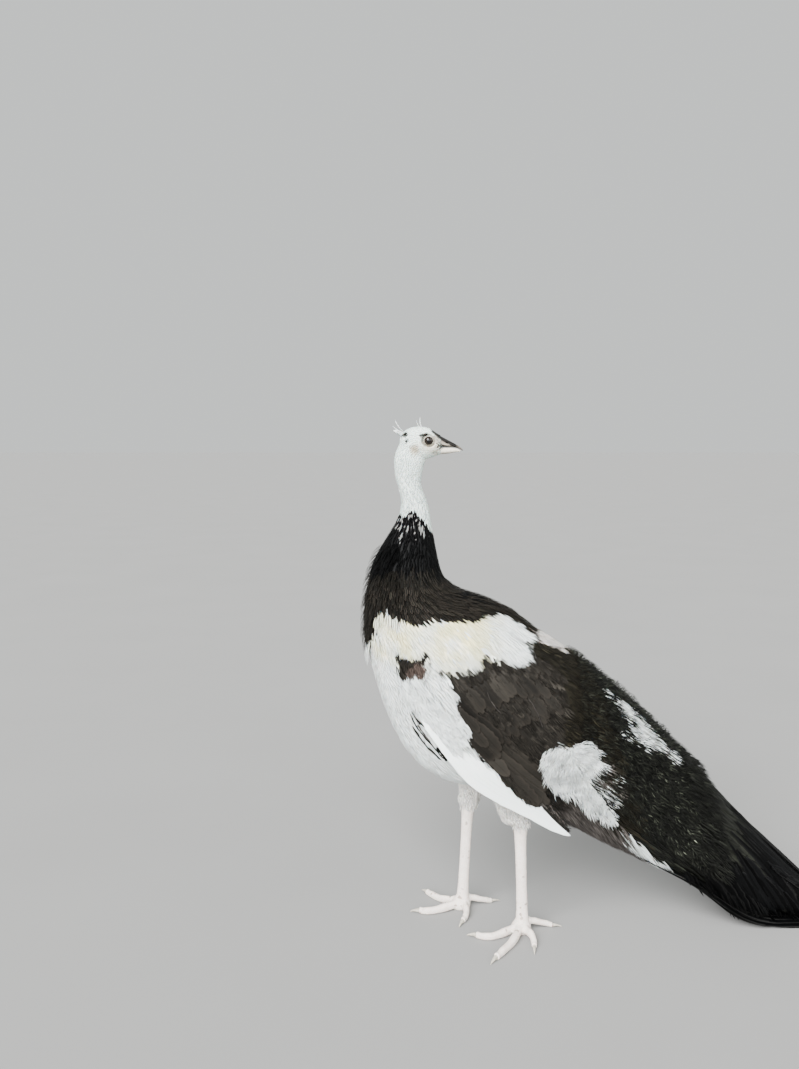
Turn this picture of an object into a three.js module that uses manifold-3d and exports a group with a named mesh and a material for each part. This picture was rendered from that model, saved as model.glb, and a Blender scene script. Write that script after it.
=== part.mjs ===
// A pied Indian peacock (Pavo cristatus) at life size, standing on both feet with its
// head turned back over its shoulder and its short train resting on the floor.
// Millimetres, +Z up, floor at Z = 0. The bird faces -X and its left side is -Y.
// Every piece is a skin-tight outer form of the feathered bird, parted by thin gaps.
import * as THREE from 'three';
import { mergeVertices } from 'three/addons/utils/BufferGeometryUtils.js';
import Module from 'manifold-3d';

const wasm = await Module();
wasm.setup();

// ---- driving dimensions -------------------------------------------------------------

const MIDDLE_X = 313; // middle of the whole bird in the numbers below
const MIDDLE_Y = -5.5;
const GAP = 0.3; // between neighbouring pieces
const TRAIN_SWING = 22; // how far the tip of the train lies to the bird's right
const SWING_FROM_X = 300;
const SWING_TO_X = 660;
const ROUNDNESS = 2.2; // exponent of the body's superellipse sections
const BODY_SIDES = 24;
const NECK_SIDES = 18;

// The body from skull to train tip. Each row is one section across the bird:
// back x, z, breast x, z, half width, and how much wider it is towards the back.
const BODY = [
  [29, 684, 4, 686, 12, 0], // inside the skull
  [35, 664, -6, 666, 17, 0],
  [34, 646, -8.2, 648, 16.5, 0],
  [29.6, 628, -6.5, 631, 15.5, 0],
  [34.5, 612, -1, 614, 16, 0],
  [41, 594, 1.6, 596, 17.5, 0],
  [44.5, 570, -5, 574, 21, 0], // base of the neck proper
  [49, 545, -20, 549, 28, 0],
  [54.5, 518, -36, 519, 38, 0],
  [63, 494, -45, 486, 53, 0.04],
  [86, 477, -48.5, 450, 68, 0.08], // shoulders
  [118, 468, -49.5, 414, 79, 0.1],
  [153, 452, -41, 376, 86, 0.1],
  [190, 425, -30, 336, 90, 0.12],
  [230, 400, -16, 296, 91, 0.12], // deepest part of the body
  [268, 371, 8, 250, 90, 0.12],
  [303, 342, 46, 215, 86, 0.12],
  [335, 313, 97, 200, 79, 0.12],
  [366, 282, 152, 188, 71, 0.12],
  [398, 249, 206, 166, 64, 0.12], // vent
  [430, 215, 262, 134, 59, 0.15],
  [466, 176, 318, 106, 55, 0.2],
  [505, 134, 372, 80, 50, 0.25],
  [545, 92, 424, 56, 44, 0.3],
  [585, 54, 476, 20, 37, 0.35],
  [622, 26, 536, 1, 28, 0.35],
  [650, 8, 606, 0.5, 15, 0.35], // tip of the train
];

// Places along those rows where the body is parted.
const HEAD_NECK = 1.4;
const NECK_MIDDLE = 3.5;
const NECK_BASE = 5.9;
const NECK_TRUNK = 8.9;
const TRUNK_TRAIN = 18.8;
const UNDERTAIL_END = 24.3;
const TRAIN_END = 25.6;
const TRAIN_FLOOR = -0.25; // level in a section where the train lies on what is below it

// The head, from occiput to the root of the bill: x, crown z, jaw z, half width.
const HEAD = [
  [0.5, 687, 671, 5],
  [3.5, 693, 664, 10.5],
  [10, 698.6, 659.5, 15],
  [20, 702, 657.5, 18],
  [32, 702, 657.5, 18.5],
  [42, 699, 659.5, 16.5],
  [49, 694.4, 662.5, 13],
  [55, 690.4, 664.4, 9.8],
];
const HEAD_SIDES = 18;
const EYE = { x: 39.2, y: 9.8, z: 683, radius: 7.4 };

// The two halves of the bill: x, top z, bottom z, half width.
const BILL_UPPER = [
  [55.3, 690, 674.3, 8.6],
  [63, 685.8, 674.4, 7],
  [72, 681, 674.2, 5.2],
  [79, 677, 673, 3.6],
  [84, 673.4, 670.6, 2],
  [86.6, 670.6, 669, 0.9],
];
const BILL_LOWER = [
  [55.3, 674, 664.8, 7.6],
  [63, 674.1, 665.2, 6.2],
  [72, 673.8, 666.6, 4.4],
  [79, 672.5, 667.8, 2.8],
  [83, 670.2, 668.2, 1.4],
];

// Crest shafts that still stand: root x, z, tip x, z, lateral place at the tip.
const CREST_REAR = [
  [5, 692, -8, 697, 1],
  [5, 693, -5, 708, -3],
  [6, 692, -9, 703, 5],
];
const CREST_CROWN = [
  [31, 699, 28, 715.5, -1],
  [30, 699, 23, 711, 3],
];
const CREST_SHAFT = { rootRadius: 1.3, tipRadius: 0.5, bow: 1.5 };

// The folded wing as a shell on the body's side: place along the body, lower and upper
// level of its edges in the section there, and thickness.
const WING = [
  [9.4, 0.05, 0.4, 2],
  [10.4, -0.35, 0.62, 8],
  [12, -0.52, 0.74, 12],
  [14, -0.5, 0.8, 13],
  [16, -0.5, 0.78, 12],
  [17.6, -0.6, 0.6, 9],
  [18.8, -0.66, 0.2, 5],
  [19.6, -0.62, -0.3, 2.5],
];
const WING_ARC = 6; // steps across the shell
const WING_RIM = 0.6; // how far outside its rim the shell would thin to nothing, in steps
const WING_CROWN = 0.7; // exponent of its thickness across: the less, the flatter
const WING_ROOT = 4; // how deep its inside lies under the body's surface

// The long primaries under it: lower edge x, z, upper edge x, z, lateral place, thickness.
// They come out of the breast's side and stand clear of the belly at their tips.
const PRIMARIES = [
  [4, 352, 40, 376, 62, 3],
  [18, 330, 58, 358, 75, 7],
  [41, 298, 86, 326, 84, 9],
  [84, 242, 130, 282, 87, 9],
  [123, 214, 164, 250, 83, 8],
  [169, 188, 196, 220, 76, 6],
  [208, 165, 221, 186, 69, 4],
  [228, 155, 231, 160, 65, 2],
];

// Tail feathers (rectrices), fanned from one root under the train to the floor.
const TAIL = {
  feathers: 7,
  path: [[330, 106], [430, 58], [500, 17], [560, 3.2], [640, 1.4], [676, 0.7]],
  rootStep: 7,
  tipStep: 10.5,
  shorter: 16, // each feather is shorter than its inner neighbour
  halfWidth: [8, 15, 16, 14, 9, 1.2],
  halfThickness: [6, 5, 4, 2.2, 1.4, 0.7],
};

// Legs. Each row of a tarsus or a foot is one level: z, how far it lies behind the line
// from foot to hock, half depth (fore and aft) and half width.
const HOCK_Z = 159;
const ANKLE_Z = 20;
const TARSUS = [
  [ANKLE_Z, 0, 9, 7.4],
  [34, 0, 7.8, 6.2],
  [70, 0, 7.4, 5.8],
  [112, 0, 7.6, 6],
  [138, 0, 8.4, 6.6],
  [150, 0.5, 10, 8],
  [HOCK_Z, 1, 10.4, 8.4],
];
const FOOT_PAD = [
  [0, -2, 12, 10],
  [3, -2, 14.5, 12],
  [9, -2, 14, 12],
  [15, -1, 10.8, 9],
  [ANKLE_Z, 0, 9, 7.4],
];
const TOE_SIDES = 7;
const TOE_TOP = 1.16; // a toe is a little taller than wide
const TOE_REST = 0.88; // height of a resting toe's middle, in half heights
const TOE_TAPER = 0.72; // radius at the toe's tip, as a share of that at its root
const TOE_SWELL = 0.08; // how much thicker it is at its joints
const CLAW_LENGTH = 14;
const CLAW_ROOT = 0.8; // radius of the claw's root, as a share of the toe's tip
const CLAW_RISE = 1.28; // height of that root's middle, in its radii
// Along a claw: share of its length, and shares of its root's height and radius there.
const CLAW_PROFILE = [
  [0, 1, 1],
  [0.35, 0.95, 0.72],
  [0.75, 0.6, 0.42],
  [1, 0.1, 0.17],
];

// Each leg's own places. Thigh: z, x, y, half depth, half width, from the hock up into the
// belly. Toe: a radius, and a path of x, y and how far its middle lies above a resting toe's.
const LEGS = {
  left: {
    foot: [172, -36],
    hock: [167, -33],
    thigh: [
      [HOCK_Z, 161, -33, 16, 10],
      [169, 156, -34, 19, 13],
      [184, 151, -37, 21, 16],
      [205, 145, -42, 27, 21],
      [236, 138, -47, 33, 26],
    ],
    toes: {
      inner: { radius: 5.6, path: [[165, -37, 3], [141, -50, 0], [122, -57, 0], [106, -51, 0]] },
      middle: { radius: 5.8, path: [[167, -43, 3], [154, -69, 0], [139, -90, 0], [128, -104, 0]] },
      outer: { radius: 5.2, path: [[175, -45, 3], [181, -58, 4], [183, -69, 1], [182, -78, 0]] },
      hind: { radius: 4.4, path: [[180, -32, 11], [194, -27, 6], [207, -24, 2], [216, -24, 0]] },
    },
  },
  right: {
    foot: [92, 29],
    hock: [100, 33],
    thigh: [
      [HOCK_Z, 101, 33, 13, 9],
      [169, 102, 34, 16, 12],
      [184, 105, 37, 20, 16],
      [205, 108, 42, 26, 21],
      [236, 112, 47, 32, 26],
    ],
    toes: {
      inner: { radius: 5.2, path: [[95, 21, 3], [97, 8, 3], [95, -4, 1], [90, -14, 0]] },
      middle: { radius: 5.8, path: [[86, 26, 3], [62, 16, 0], [42, 10, 0], [29, 13, 0]] },
      outer: { radius: 5.4, path: [[83, 35, 3], [64, 43, 0], [50, 56, 0], [42, 67, 0]] },
      hind: { radius: 4.4, path: [[101, 32, 11], [115, 36, 6], [128, 40, 2], [137, 43, 0]] },
    },
  },
};

// ---- materials ----------------------------------------------------------------------

function finish(colour, roughness, metalness = 0) {
  return new THREE.MeshStandardMaterial({ color: colour, roughness, metalness });
}

const WHITE = finish(0xe8e4d8, 0.85);
const BLACK = finish(0x17181c, 0.6);
const BROWN = finish(0x33291f, 0.75);
const TRAIN_GREEN = finish(0x20261f, 0.55, 0.1);
const GREY_BROWN = finish(0x5a4f47, 0.8);
const SHANK = finish(0xd9cbbd, 0.55);
const HORN = finish(0x6f675c, 0.4);
const EYE_BROWN = finish(0x1c120b, 0.08);

// ---- tools for shapes ---------------------------------------------------------------

// A smooth value between rows of numbers, at a place measured in rows.
function along(rows, place) {
  const i = Math.min(Math.max(Math.floor(place), 0), rows.length - 2);
  const f = place - i;
  const row = (k) => rows[Math.min(Math.max(k, 0), rows.length - 1)];
  return rows[i].map((_, c) => {
    const [a, b, d, e] = [row(i - 1)[c], row(i)[c], row(i + 1)[c], row(i + 2)[c]];
    const slope = (d - a) / 2;
    const next = (e - b) / 2;
    const bend = 3 * (d - b) - 2 * slope - next;
    return b + f * (slope + f * (bend + f * (slope + next - 2 * (d - b))));
  });
}

// Evenly spaced numbers from one value to another, both included.
function spread(from, to, steps) {
  return Array.from({ length: steps + 1 }, (_, k) => from + ((to - from) * k) / steps);
}

// A closed solid through rings of equally many points; each end is closed by a strip.
function loft(rings) {
  const count = rings[0].length;
  const last = (rings.length - 1) * count;
  const triangles = [];
  for (let r = 0; r < rings.length - 1; r += 1) {
    for (let k = 0; k < count; k += 1) {
      const a = r * count + k;
      const b = r * count + ((k + 1) % count);
      triangles.push(a, b, b + count, a, b + count, a + count);
    }
  }
  for (let k = 0; k < count / 2 - 1; k += 1) {
    const [p, q, s, t] = [k, k + 1, count - 2 - k, count - 1 - k];
    triangles.push(p, s, q, p, t, s);
    triangles.push(last + p, last + q, last + s, last + p, last + s, last + t);
  }
  return solid(rings.flat().flatMap((p) => p.toArray()), triangles);
}

function signedVolume(points, triangles) {
  const corner = (k) => new THREE.Vector3().fromArray(points, 3 * triangles[k]);
  let sum = 0;
  for (let k = 0; k < triangles.length; k += 3) {
    sum += corner(k).dot(corner(k + 1).cross(corner(k + 2)));
  }
  return sum / 6;
}

// A manifold solid from points and triangles, turned so that its faces point out.
function solid(points, triangles) {
  if (signedVolume(points, triangles) < 0) {
    triangles.reverse();
  }
  const mesh = new wasm.Mesh({
    numProp: 3,
    vertProperties: new Float32Array(points),
    triVerts: new Uint32Array(triangles),
  });
  return new wasm.Manifold(mesh);
}

function joined(solids) {
  return solids.reduce((whole, one) => whole.add(one));
}

// The largest of the bodies that a cut leaves.
function largest(cut) {
  return cut.decompose().reduce((a, b) => (a.volume() > b.volume() ? a : b));
}

const bird = new THREE.Group();
bird.position.set(-MIDDLE_X, -MIDDLE_Y, 0);

// Adds a solid to the bird as a named mesh.
function addPiece(name, material, shape) {
  const { vertProperties, triVerts } = shape.getMesh();
  const geometry = new THREE.BufferGeometry();
  geometry.setAttribute('position', new THREE.BufferAttribute(vertProperties, 3));
  geometry.setIndex(new THREE.BufferAttribute(triVerts, 1));
  geometry.computeVertexNormals();
  const mesh = new THREE.Mesh(geometry, material);
  mesh.name = name;
  bird.add(mesh);
}

// ---- neck, trunk and train ----------------------------------------------------------

// How far the middle of the train lies to the bird's right of its body.
function swing(x) {
  const share = Math.max(0, x - SWING_FROM_X) / (SWING_TO_X - SWING_FROM_X);
  return TRAIN_SWING * share ** 1.5;
}

function rounded(value) {
  return Math.sign(value) * Math.abs(value) ** (2 / ROUNDNESS);
}

// A point of the body's surface: up is -1 at the breast and 1 at the back, across is
// -1 at the bird's left and 1 at its right, and grow is how far outside it lies.
function bodyPoint([backX, backZ, frontX, frontZ, half, wider], up, across, grow) {
  const reach = Math.hypot(backX - frontX, backZ - frontZ) / 2;
  const level = up * (1 + grow / reach);
  const x = (backX + frontX) / 2 + (level * (backX - frontX)) / 2;
  const z = (backZ + frontZ) / 2 + (level * (backZ - frontZ)) / 2;
  const y = across * (half * (1 + wider * up) + grow) + swing(x);
  return new THREE.Vector3(x, y, Math.max(z, 0));
}

function bodyRing(place, sides, { grow = 0, low = -1, high = 1 } = {}) {
  const row = along(BODY, place);
  return spread(0, 2 * Math.PI, sides).slice(0, -1).map((turn) => {
    const angle = turn + Math.PI / sides;
    const up = Math.min(Math.max(rounded(Math.cos(angle)), low), high);
    return bodyPoint(row, up, rounded(Math.sin(angle)), grow);
  });
}

// A length of the body between two places, with a gap left at its far end.
function bodyLength(from, to, steps, sides, shape) {
  return loft(spread(from, to, steps).map((place) => bodyRing(place, sides, shape)));
}

const CUT = 0.02; // a gap, measured in rows of BODY
const LEVEL_STEP = 0.02; // a millimetre of the train's depth, as a level in its section

const neckIntoHead = bodyLength(0, HEAD_NECK - CUT, 3, NECK_SIDES);
addPiece('neck_upper', WHITE, bodyLength(HEAD_NECK, NECK_MIDDLE - CUT, 6, NECK_SIDES));
addPiece('neck_middle', WHITE, bodyLength(NECK_MIDDLE, NECK_BASE - CUT, 6, NECK_SIDES));
addPiece('neck_lower', BLACK, bodyLength(NECK_BASE, NECK_TRUNK - CUT, 6, BODY_SIDES));

// The trunk, train or undertail, or with a grow the room that it needs.
function trunk(grow) {
  return bodyLength(NECK_TRUNK, TRUNK_TRAIN - CUT, 15, BODY_SIDES, { grow });
}

function train(grow) {
  const low = TRAIN_FLOOR - LEVEL_STEP * grow;
  return bodyLength(TRUNK_TRAIN, TRAIN_END, 11, 20, { grow, low });
}

function undertail(grow) {
  const high = TRAIN_FLOOR - LEVEL_STEP + LEVEL_STEP * grow;
  return bodyLength(TRUNK_TRAIN, UNDERTAIL_END, 8, 16, { grow, high });
}

addPiece('trunk', BROWN, trunk(0));
addPiece('train', TRAIN_GREEN, train(0));
addPiece('undertail', GREY_BROWN, undertail(0));
const trunkRoom = joined([trunk(GAP), train(GAP), undertail(GAP)]);

// ---- tail feathers ------------------------------------------------------------------

// Outline of a flat feather's section: across and up, in its half width and thickness.
const FEATHER_SECTION = [[-1, 0], [-0.5, 1], [0.5, 1], [1, 0], [0.5, -1], [-0.5, -1]];

// A long flat feather with its underside held on or above the floor.
function tailFeather(number) {
  const outward = number - (TAIL.feathers - 1) / 2;
  const rows = TAIL.path.map(([x, z], k) => {
    const share = k / (TAIL.path.length - 1);
    const step = TAIL.rootStep + (TAIL.tipStep - TAIL.rootStep) * share;
    const back = share * TAIL.shorter * Math.abs(outward);
    const y = swing(x - back) + outward * step;
    return [x - back, y, z, TAIL.halfWidth[k], TAIL.halfThickness[k]];
  });
  const rings = spread(0, rows.length - 1, 7).map((place) => {
    const [x, y, z, width, thickness] = along(rows, place);
    return FEATHER_SECTION.map(([across, up]) =>
      new THREE.Vector3(x, y + across * width, Math.max(z + up * thickness, 0)));
  });
  return loft(rings);
}

const feathers = joined(spread(0, TAIL.feathers - 1, TAIL.feathers - 1).map(tailFeather));
addPiece('tail', BLACK, largest(feathers.subtract(trunkRoom)));

// ---- wings --------------------------------------------------------------------------

// The angle in a section at which its surface has the given level.
function angleAt(level) {
  return Math.acos(Math.sign(level) * Math.abs(level) ** (ROUNDNESS / 2));
}

function wingShell(side, grow) {
  const rings = spread(0, WING.length - 1, 10).map((place) => {
    const [at, low, high, thickness] = along(WING, place);
    const row = along(BODY, at);
    const arc = spread(angleAt(low), angleAt(high), WING_ARC);
    const outer = arc.map((angle, k) => {
      const share = (k + WING_RIM) / (WING_ARC + 2 * WING_RIM);
      const crown = Math.sin(Math.PI * share) ** WING_CROWN;
      const out = thickness * crown + grow;
      return bodyPoint(row, rounded(Math.cos(angle)), side * rounded(Math.sin(angle)), out);
    });
    const inner = arc.map((angle) =>
      bodyPoint(row, rounded(Math.cos(angle)), side * rounded(Math.sin(angle)), -WING_ROOT));
    return [...outer, ...inner.reverse()];
  });
  return loft(rings);
}

// Outline of the blade's section: share of the way up it, and out in half thicknesses.
const BLADE_SECTION = [[0, 0], [0.3, 1], [0.7, 1], [1, 0], [0.7, -1], [0.3, -1]];

function primaries(side, grow) {
  const rings = spread(0, PRIMARIES.length - 1, 10).map((place) => {
    const [lowX, lowZ, highX, highZ, y, thickness] = along(PRIMARIES, place);
    return BLADE_SECTION.map(([up, out]) => {
      const offset = out * (thickness / 2 + grow);
      const x = lowX + (highX - lowX) * up;
      return new THREE.Vector3(x, side * (y + offset), lowZ + (highZ - lowZ) * up);
    });
  });
  return loft(rings);
}

function addWing(name, side) {
  const blade = primaries(side, 0);
  const shell = wingShell(side, 0);
  addPiece(`primaries_${name}`, WHITE, largest(blade.subtract(trunkRoom)));
  const bladeRoom = primaries(side, GAP);
  addPiece(`wing_${name}`, BROWN, largest(shell.subtract(trunkRoom).subtract(bladeRoom)));
  return joined([wingShell(side, GAP), primaries(side, GAP)]);
}

// ---- legs and feet ------------------------------------------------------------------

// A ring lying flat at one level.
function levelRing(x, y, z, depth, width, sides) {
  return spread(0, 2 * Math.PI, sides).slice(0, -1).map((angle) =>
    new THREE.Vector3(x + depth * Math.cos(angle), y + width * Math.sin(angle), z));
}

function levelColumn(levels, leg, sides, grow = 0) {
  return loft(levels.map(([z, forward, depth, width]) => {
    const share = z / HOCK_Z;
    const x = leg.foot[0] + (leg.hock[0] - leg.foot[0]) * share + forward;
    const y = leg.foot[1] + (leg.hock[1] - leg.foot[1]) * share;
    return levelRing(x, y, z, depth + grow, width + grow, sides);
  }));
}

function thighColumn(leg, sides) {
  const rows = leg.thigh;
  return loft(spread(0, rows.length - 1, 6).map((place) => {
    const [z, x, y, depth, width] = along(rows, place);
    return levelRing(x, y, place === 0 ? z + GAP : z, depth, width, sides);
  }));
}

// A tube along a toe's path, flat where it rests on the floor.
function toeTube(path, radius, tip) {
  const steps = 7;
  const rings = spread(0, path.length - 1, steps).map((place, k) => {
    const [x, y, lift] = along(path, place);
    const [nextX, nextY] = along(path, Math.min(place + 0.1, path.length - 1));
    const [lastX, lastY] = along(path, Math.max(place - 0.1, 0));
    const ahead = new THREE.Vector2(nextX - lastX, nextY - lastY).normalize();
    const taper = radius + (tip - radius) * (k / steps);
    const r = taper * (1 + TOE_SWELL * Math.cos(2 * Math.PI * place));
    return spread(0, 2 * Math.PI, TOE_SIDES).slice(0, -1).map((turn) => {
      const angle = turn + Math.PI / TOE_SIDES;
      const out = r * Math.cos(angle);
      const up = Math.max(lift + r * TOE_TOP * (TOE_REST + Math.sin(angle)), 0);
      return new THREE.Vector3(x - ahead.y * out, y + ahead.x * out, up);
    });
  });
  return loft(rings);
}

// A claw that carries on from the end of a toe and curves down to the floor.
function claw(path, radius) {
  const [x, y] = path[path.length - 1];
  const rise = radius * CLAW_RISE;
  const [beforeX, beforeY] = path[path.length - 2];
  const ahead = new THREE.Vector2(x - beforeX, y - beforeY).normalize();
  return loft(CLAW_PROFILE.map(([share, height, width]) => {
    const out = GAP + share * CLAW_LENGTH;
    return spread(0, 2 * Math.PI, 6).slice(0, -1).map((turn) => {
      const across = radius * width * Math.cos(turn + Math.PI / 6);
      const up = rise * height + radius * width * Math.sin(turn + Math.PI / 6);
      const px = x + ahead.x * out - ahead.y * across;
      return new THREE.Vector3(px, y + ahead.y * out + ahead.x * across, Math.max(up, 0));
    });
  }));
}

function addLeg(name, leg, bodyRoom) {
  addPiece(`thigh_${name}`, WHITE, largest(thighColumn(leg, 12).subtract(bodyRoom)));
  const shank = TARSUS.map((level, k) => (k === 0 ? [level[0] + GAP, ...level.slice(1)] : level));
  addPiece(`tarsus_${name}`, SHANK, levelColumn(shank, leg, 12));
  addPiece(`foot_${name}`, SHANK, levelColumn(FOOT_PAD, leg, 12));
  let room = joined([levelColumn(FOOT_PAD, leg, 12, GAP), levelColumn(TARSUS, leg, 12, GAP)]);
  for (const [toe, { radius, path }] of Object.entries(leg.toes)) {
    const tip = radius * TOE_TAPER;
    const tube = toeTube(path, radius, tip);
    addPiece(`toe_${toe}_${name}`, SHANK, largest(tube.subtract(room)));
    addPiece(`claw_${toe}_${name}`, HORN, claw(path, tip * CLAW_ROOT));
    room = room.add(toeTube(path, radius + GAP, tip + GAP));
  }
}

// ---- head ---------------------------------------------------------------------------

function headSection(rows, place, sides, grow = 0) {
  const [x, top, bottom, half] = along(rows, place);
  return spread(0, 2 * Math.PI, sides).slice(0, -1).map((turn) => {
    const angle = turn + Math.PI / sides;
    const up = ((top - bottom) / 2 + grow) * rounded(Math.cos(angle));
    return new THREE.Vector3(x, (half + grow) * rounded(Math.sin(angle)), (top + bottom) / 2 + up);
  });
}

function headLoft(rows, steps, sides, grow = 0) {
  return loft(spread(0, rows.length - 1, steps).map((place) => headSection(rows, place, sides, grow)));
}

function ball(side, radius) {
  const geometry = new THREE.SphereGeometry(radius, 12, 8);
  geometry.rotateX(Math.PI / 2);
  geometry.translate(EYE.x, side * EYE.y, EYE.z);
  geometry.deleteAttribute('normal');
  geometry.deleteAttribute('uv');
  const merged = mergeVertices(geometry);
  return solid(Array.from(merged.attributes.position.array), Array.from(merged.index.array));
}

// One shaft of the crest, bowed a little towards the nape.
function shaft([rootX, rootZ, tipX, tipZ, tipY]) {
  const { rootRadius, tipRadius, bow } = CREST_SHAFT;
  const root = [rootX, 0, rootZ, rootRadius];
  const tip = [tipX, tipY, tipZ, tipRadius];
  return loft(spread(0, 1, 3).map((share) => {
    const [x, y, z, r] = root.map((value, k) => value + (tip[k] - value) * share);
    return levelRing(x - bow * Math.sin(Math.PI * share), y, z, r, r, 6);
  }));
}

const skull = headLoft(HEAD, 10, HEAD_SIDES).add(neckIntoHead);
const sockets = joined([-1, 1].map((side) => ball(side, EYE.radius + GAP)));
const head = skull.subtract(sockets);
const neckRoom = bodyLength(0, HEAD_NECK, 3, NECK_SIDES, { grow: GAP });
const headRoom = headLoft(HEAD, 10, HEAD_SIDES, GAP).add(neckRoom);
addPiece('head', WHITE, largest(head));
addPiece('eye_left', EYE_BROWN, ball(-1, EYE.radius));
addPiece('eye_right', EYE_BROWN, ball(1, EYE.radius));
addPiece('bill_upper', HORN, headLoft(BILL_UPPER, 8, 12));
addPiece('bill_lower', HORN, headLoft(BILL_LOWER, 6, 12));
addPiece('crest_rear', WHITE, largest(joined(CREST_REAR.map(shaft)).subtract(headRoom)));
addPiece('crest_crown', WHITE, largest(joined(CREST_CROWN.map(shaft)).subtract(headRoom)));

// ---- wings and legs, which rest on the trunk ----------------------------------------

const wingRoom = joined([addWing('left', -1), addWing('right', 1)]);
const bodyRoom = trunkRoom.add(wingRoom);
addLeg('left', LEGS.left, bodyRoom);
addLeg('right', LEGS.right, bodyRoom);

export default bird;
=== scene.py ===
# A pied Indian peacock, standing with its head turned back: skin, plumage, bill, eyes
# and scaled legs. Lengths in the lists and functions below are the bird's own
# millimetres, as in the part's source; meshes are made in metres.
import math
import bpy
import bmesh
import numpy as np
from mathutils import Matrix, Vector, noise
from mathutils.bvhtree import BVHTree


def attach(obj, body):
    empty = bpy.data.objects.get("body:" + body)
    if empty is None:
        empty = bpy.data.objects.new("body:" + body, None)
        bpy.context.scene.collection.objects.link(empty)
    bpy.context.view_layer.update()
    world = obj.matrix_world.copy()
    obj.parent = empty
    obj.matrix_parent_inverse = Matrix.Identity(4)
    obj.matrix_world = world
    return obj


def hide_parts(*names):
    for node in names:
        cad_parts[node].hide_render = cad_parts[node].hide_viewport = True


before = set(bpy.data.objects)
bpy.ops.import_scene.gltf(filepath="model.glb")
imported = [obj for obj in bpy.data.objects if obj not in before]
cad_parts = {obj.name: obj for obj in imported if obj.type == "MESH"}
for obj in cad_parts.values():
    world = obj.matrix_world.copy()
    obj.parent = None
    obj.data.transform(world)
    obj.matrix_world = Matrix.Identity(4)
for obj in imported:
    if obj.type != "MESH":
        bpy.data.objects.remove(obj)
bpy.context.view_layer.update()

# ---- sizes ----------------------------------------------------------------------------

ORIGIN = np.array([313.0, -5.5, 0.0])  # the middle of the whole bird, on the floor
EYE = np.array([39.2, 9.8, 683.0])  # the right eye; the left one is its mirror image
EYE_RADIUS = 7.4
LID_OPENING = 5.0

# The line along the middle of the body, from the root of the bill to the tip of the train.
SPINE = [(58, 679), (40, 683), (24, 682), (13, 668), (11, 648), (12, 628), (21, 597), (19, 570),
         (14, 545), (9, 512), (12, 482), (22, 458), (56, 414), (107, 348), (172, 281), (260, 235),
         (346, 175), (438, 107), (530, 38), (590, 11), (660, 3)]

# Outlines of the markings, seen from the side: x and z.
DARK = [(-120, 380), (-43, 389), (-38, 416), (-34, 434), (-29, 449), (-25, 453), (-7, 450),
        (11, 447), (29, 445), (57, 451), (81, 450), (103, 447), (112, 453), (131, 451),
        (149, 445), (166, 435), (182, 418), (168, 415), (174, 401), (160, 393), (139, 397),
        (112, 405), (101, 395), (86, 386), (57, 382), (71, 368), (79, 341), (85, 326),
        (84, 304), (92, 286), (110, 269), (128, 248), (147, 227), (180, 198), (212, 174),
        (236, 150), (300, 40), (700, -60), (700, 900), (-120, 900)]
NECK_WHITE = [(-40, 586), (3, 585), (7, 581), (13, 586), (22, 588), (29, 578), (38, 566),
              (46, 555), (90, 552), (150, 900), (-60, 900)]
NECK_BLACK_END = [(-60, 496), (0, 505), (45, 508), (90, 470)]
SHOULDER_SPOT = [(-5, 406), (6, 404), (15, 400), (24, 403), (36, 404), (34, 382), (27, 373),
                 (7, 370), (-1, 379)]
FLUFF = [(190, 270), (194, 283), (206, 287), (219, 284), (233, 290), (245, 289), (257, 279),
         (263, 267), (262, 258), (252, 252), (249, 240), (256, 225), (267, 216), (275, 202),
         (287, 182), (296, 168), (281, 174), (268, 189), (254, 191), (248, 201), (250, 209),
         (241, 217), (226, 225), (210, 232), (199, 243), (192, 257)]
WHITE_LINE = [(296, 168), (318, 143), (343, 119), (367, 98), (397, 72), (372, 80), (343, 102),
              (314, 130), (300, 146)]
BACK_STREAKS = [(278, 344), (293, 334), (309, 325), (326, 309), (336, 293), (358, 272),
                (385, 248), (375, 248), (347, 264), (325, 279), (300, 294), (295, 301),
                (307, 303), (318, 302), (300, 318), (285, 330)]
BACK_STREAK_SIDE = 14  # nearer than this to the ridge the back stays dark
RIDGE_STREAK = [(180, 425), (198, 417), (220, 404), (246, 387), (224, 397), (205, 405),
                (187, 412)]
GREY_FLANK = [(176, 212), (208, 236), (237, 223), (254, 190), (288, 166), (318, 142),
              (395, 70), (420, 20), (330, 70), (236, 150), (212, 172)]
SPECKLED = [(250, 254), (266, 262), (292, 256), (300, 215), (292, 184), (279, 202), (262, 220),
            (248, 238)]
WHITE_TUFT = [(85, 336), (78, 323), (77, 309), (92, 309), (103, 319), (89, 322)]

# Colours, linear.
WHITE = (0.86, 0.88, 0.85)
NECK_PALE = (0.70, 0.78, 0.73)
NECK_FLECK = (0.24, 0.235, 0.225)
CREAM = (0.86, 0.79, 0.46)
PINKISH = (0.62, 0.56, 0.52)
# The thighs' warm white, brighter and warmer than WHITE: partly their own tint, partly painted
# light that offsets the cool shade under the body.
THIGH_LIT_WHITE = (0.95, 0.90, 0.83)
BLACK = (0.0019, 0.0020, 0.0021)
MANTLE = (0.0031, 0.0032, 0.0021)
WING_DARK = (0.0170, 0.0152, 0.0125)
BACK_DARK = (0.0112, 0.0100, 0.0062)
TRAIN_DARK = (0.0042, 0.0046, 0.0034)
GREY_BROWN = (0.080, 0.071, 0.065)
FACE = (0.58, 0.565, 0.48)
EAR = (0.34, 0.27, 0.18)
EYE_RING = (0.27, 0.24, 0.20)
SPOT_BROWN = (0.100, 0.073, 0.061)
LEG = (0.72, 0.655, 0.60)
LEG_SPOT = (0.20, 0.15, 0.12)
HORN_DARK = (0.007, 0.006, 0.005)
HORN_GREY = (0.30, 0.26, 0.22)
HORN_PALE = (0.70, 0.66, 0.56)

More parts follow.
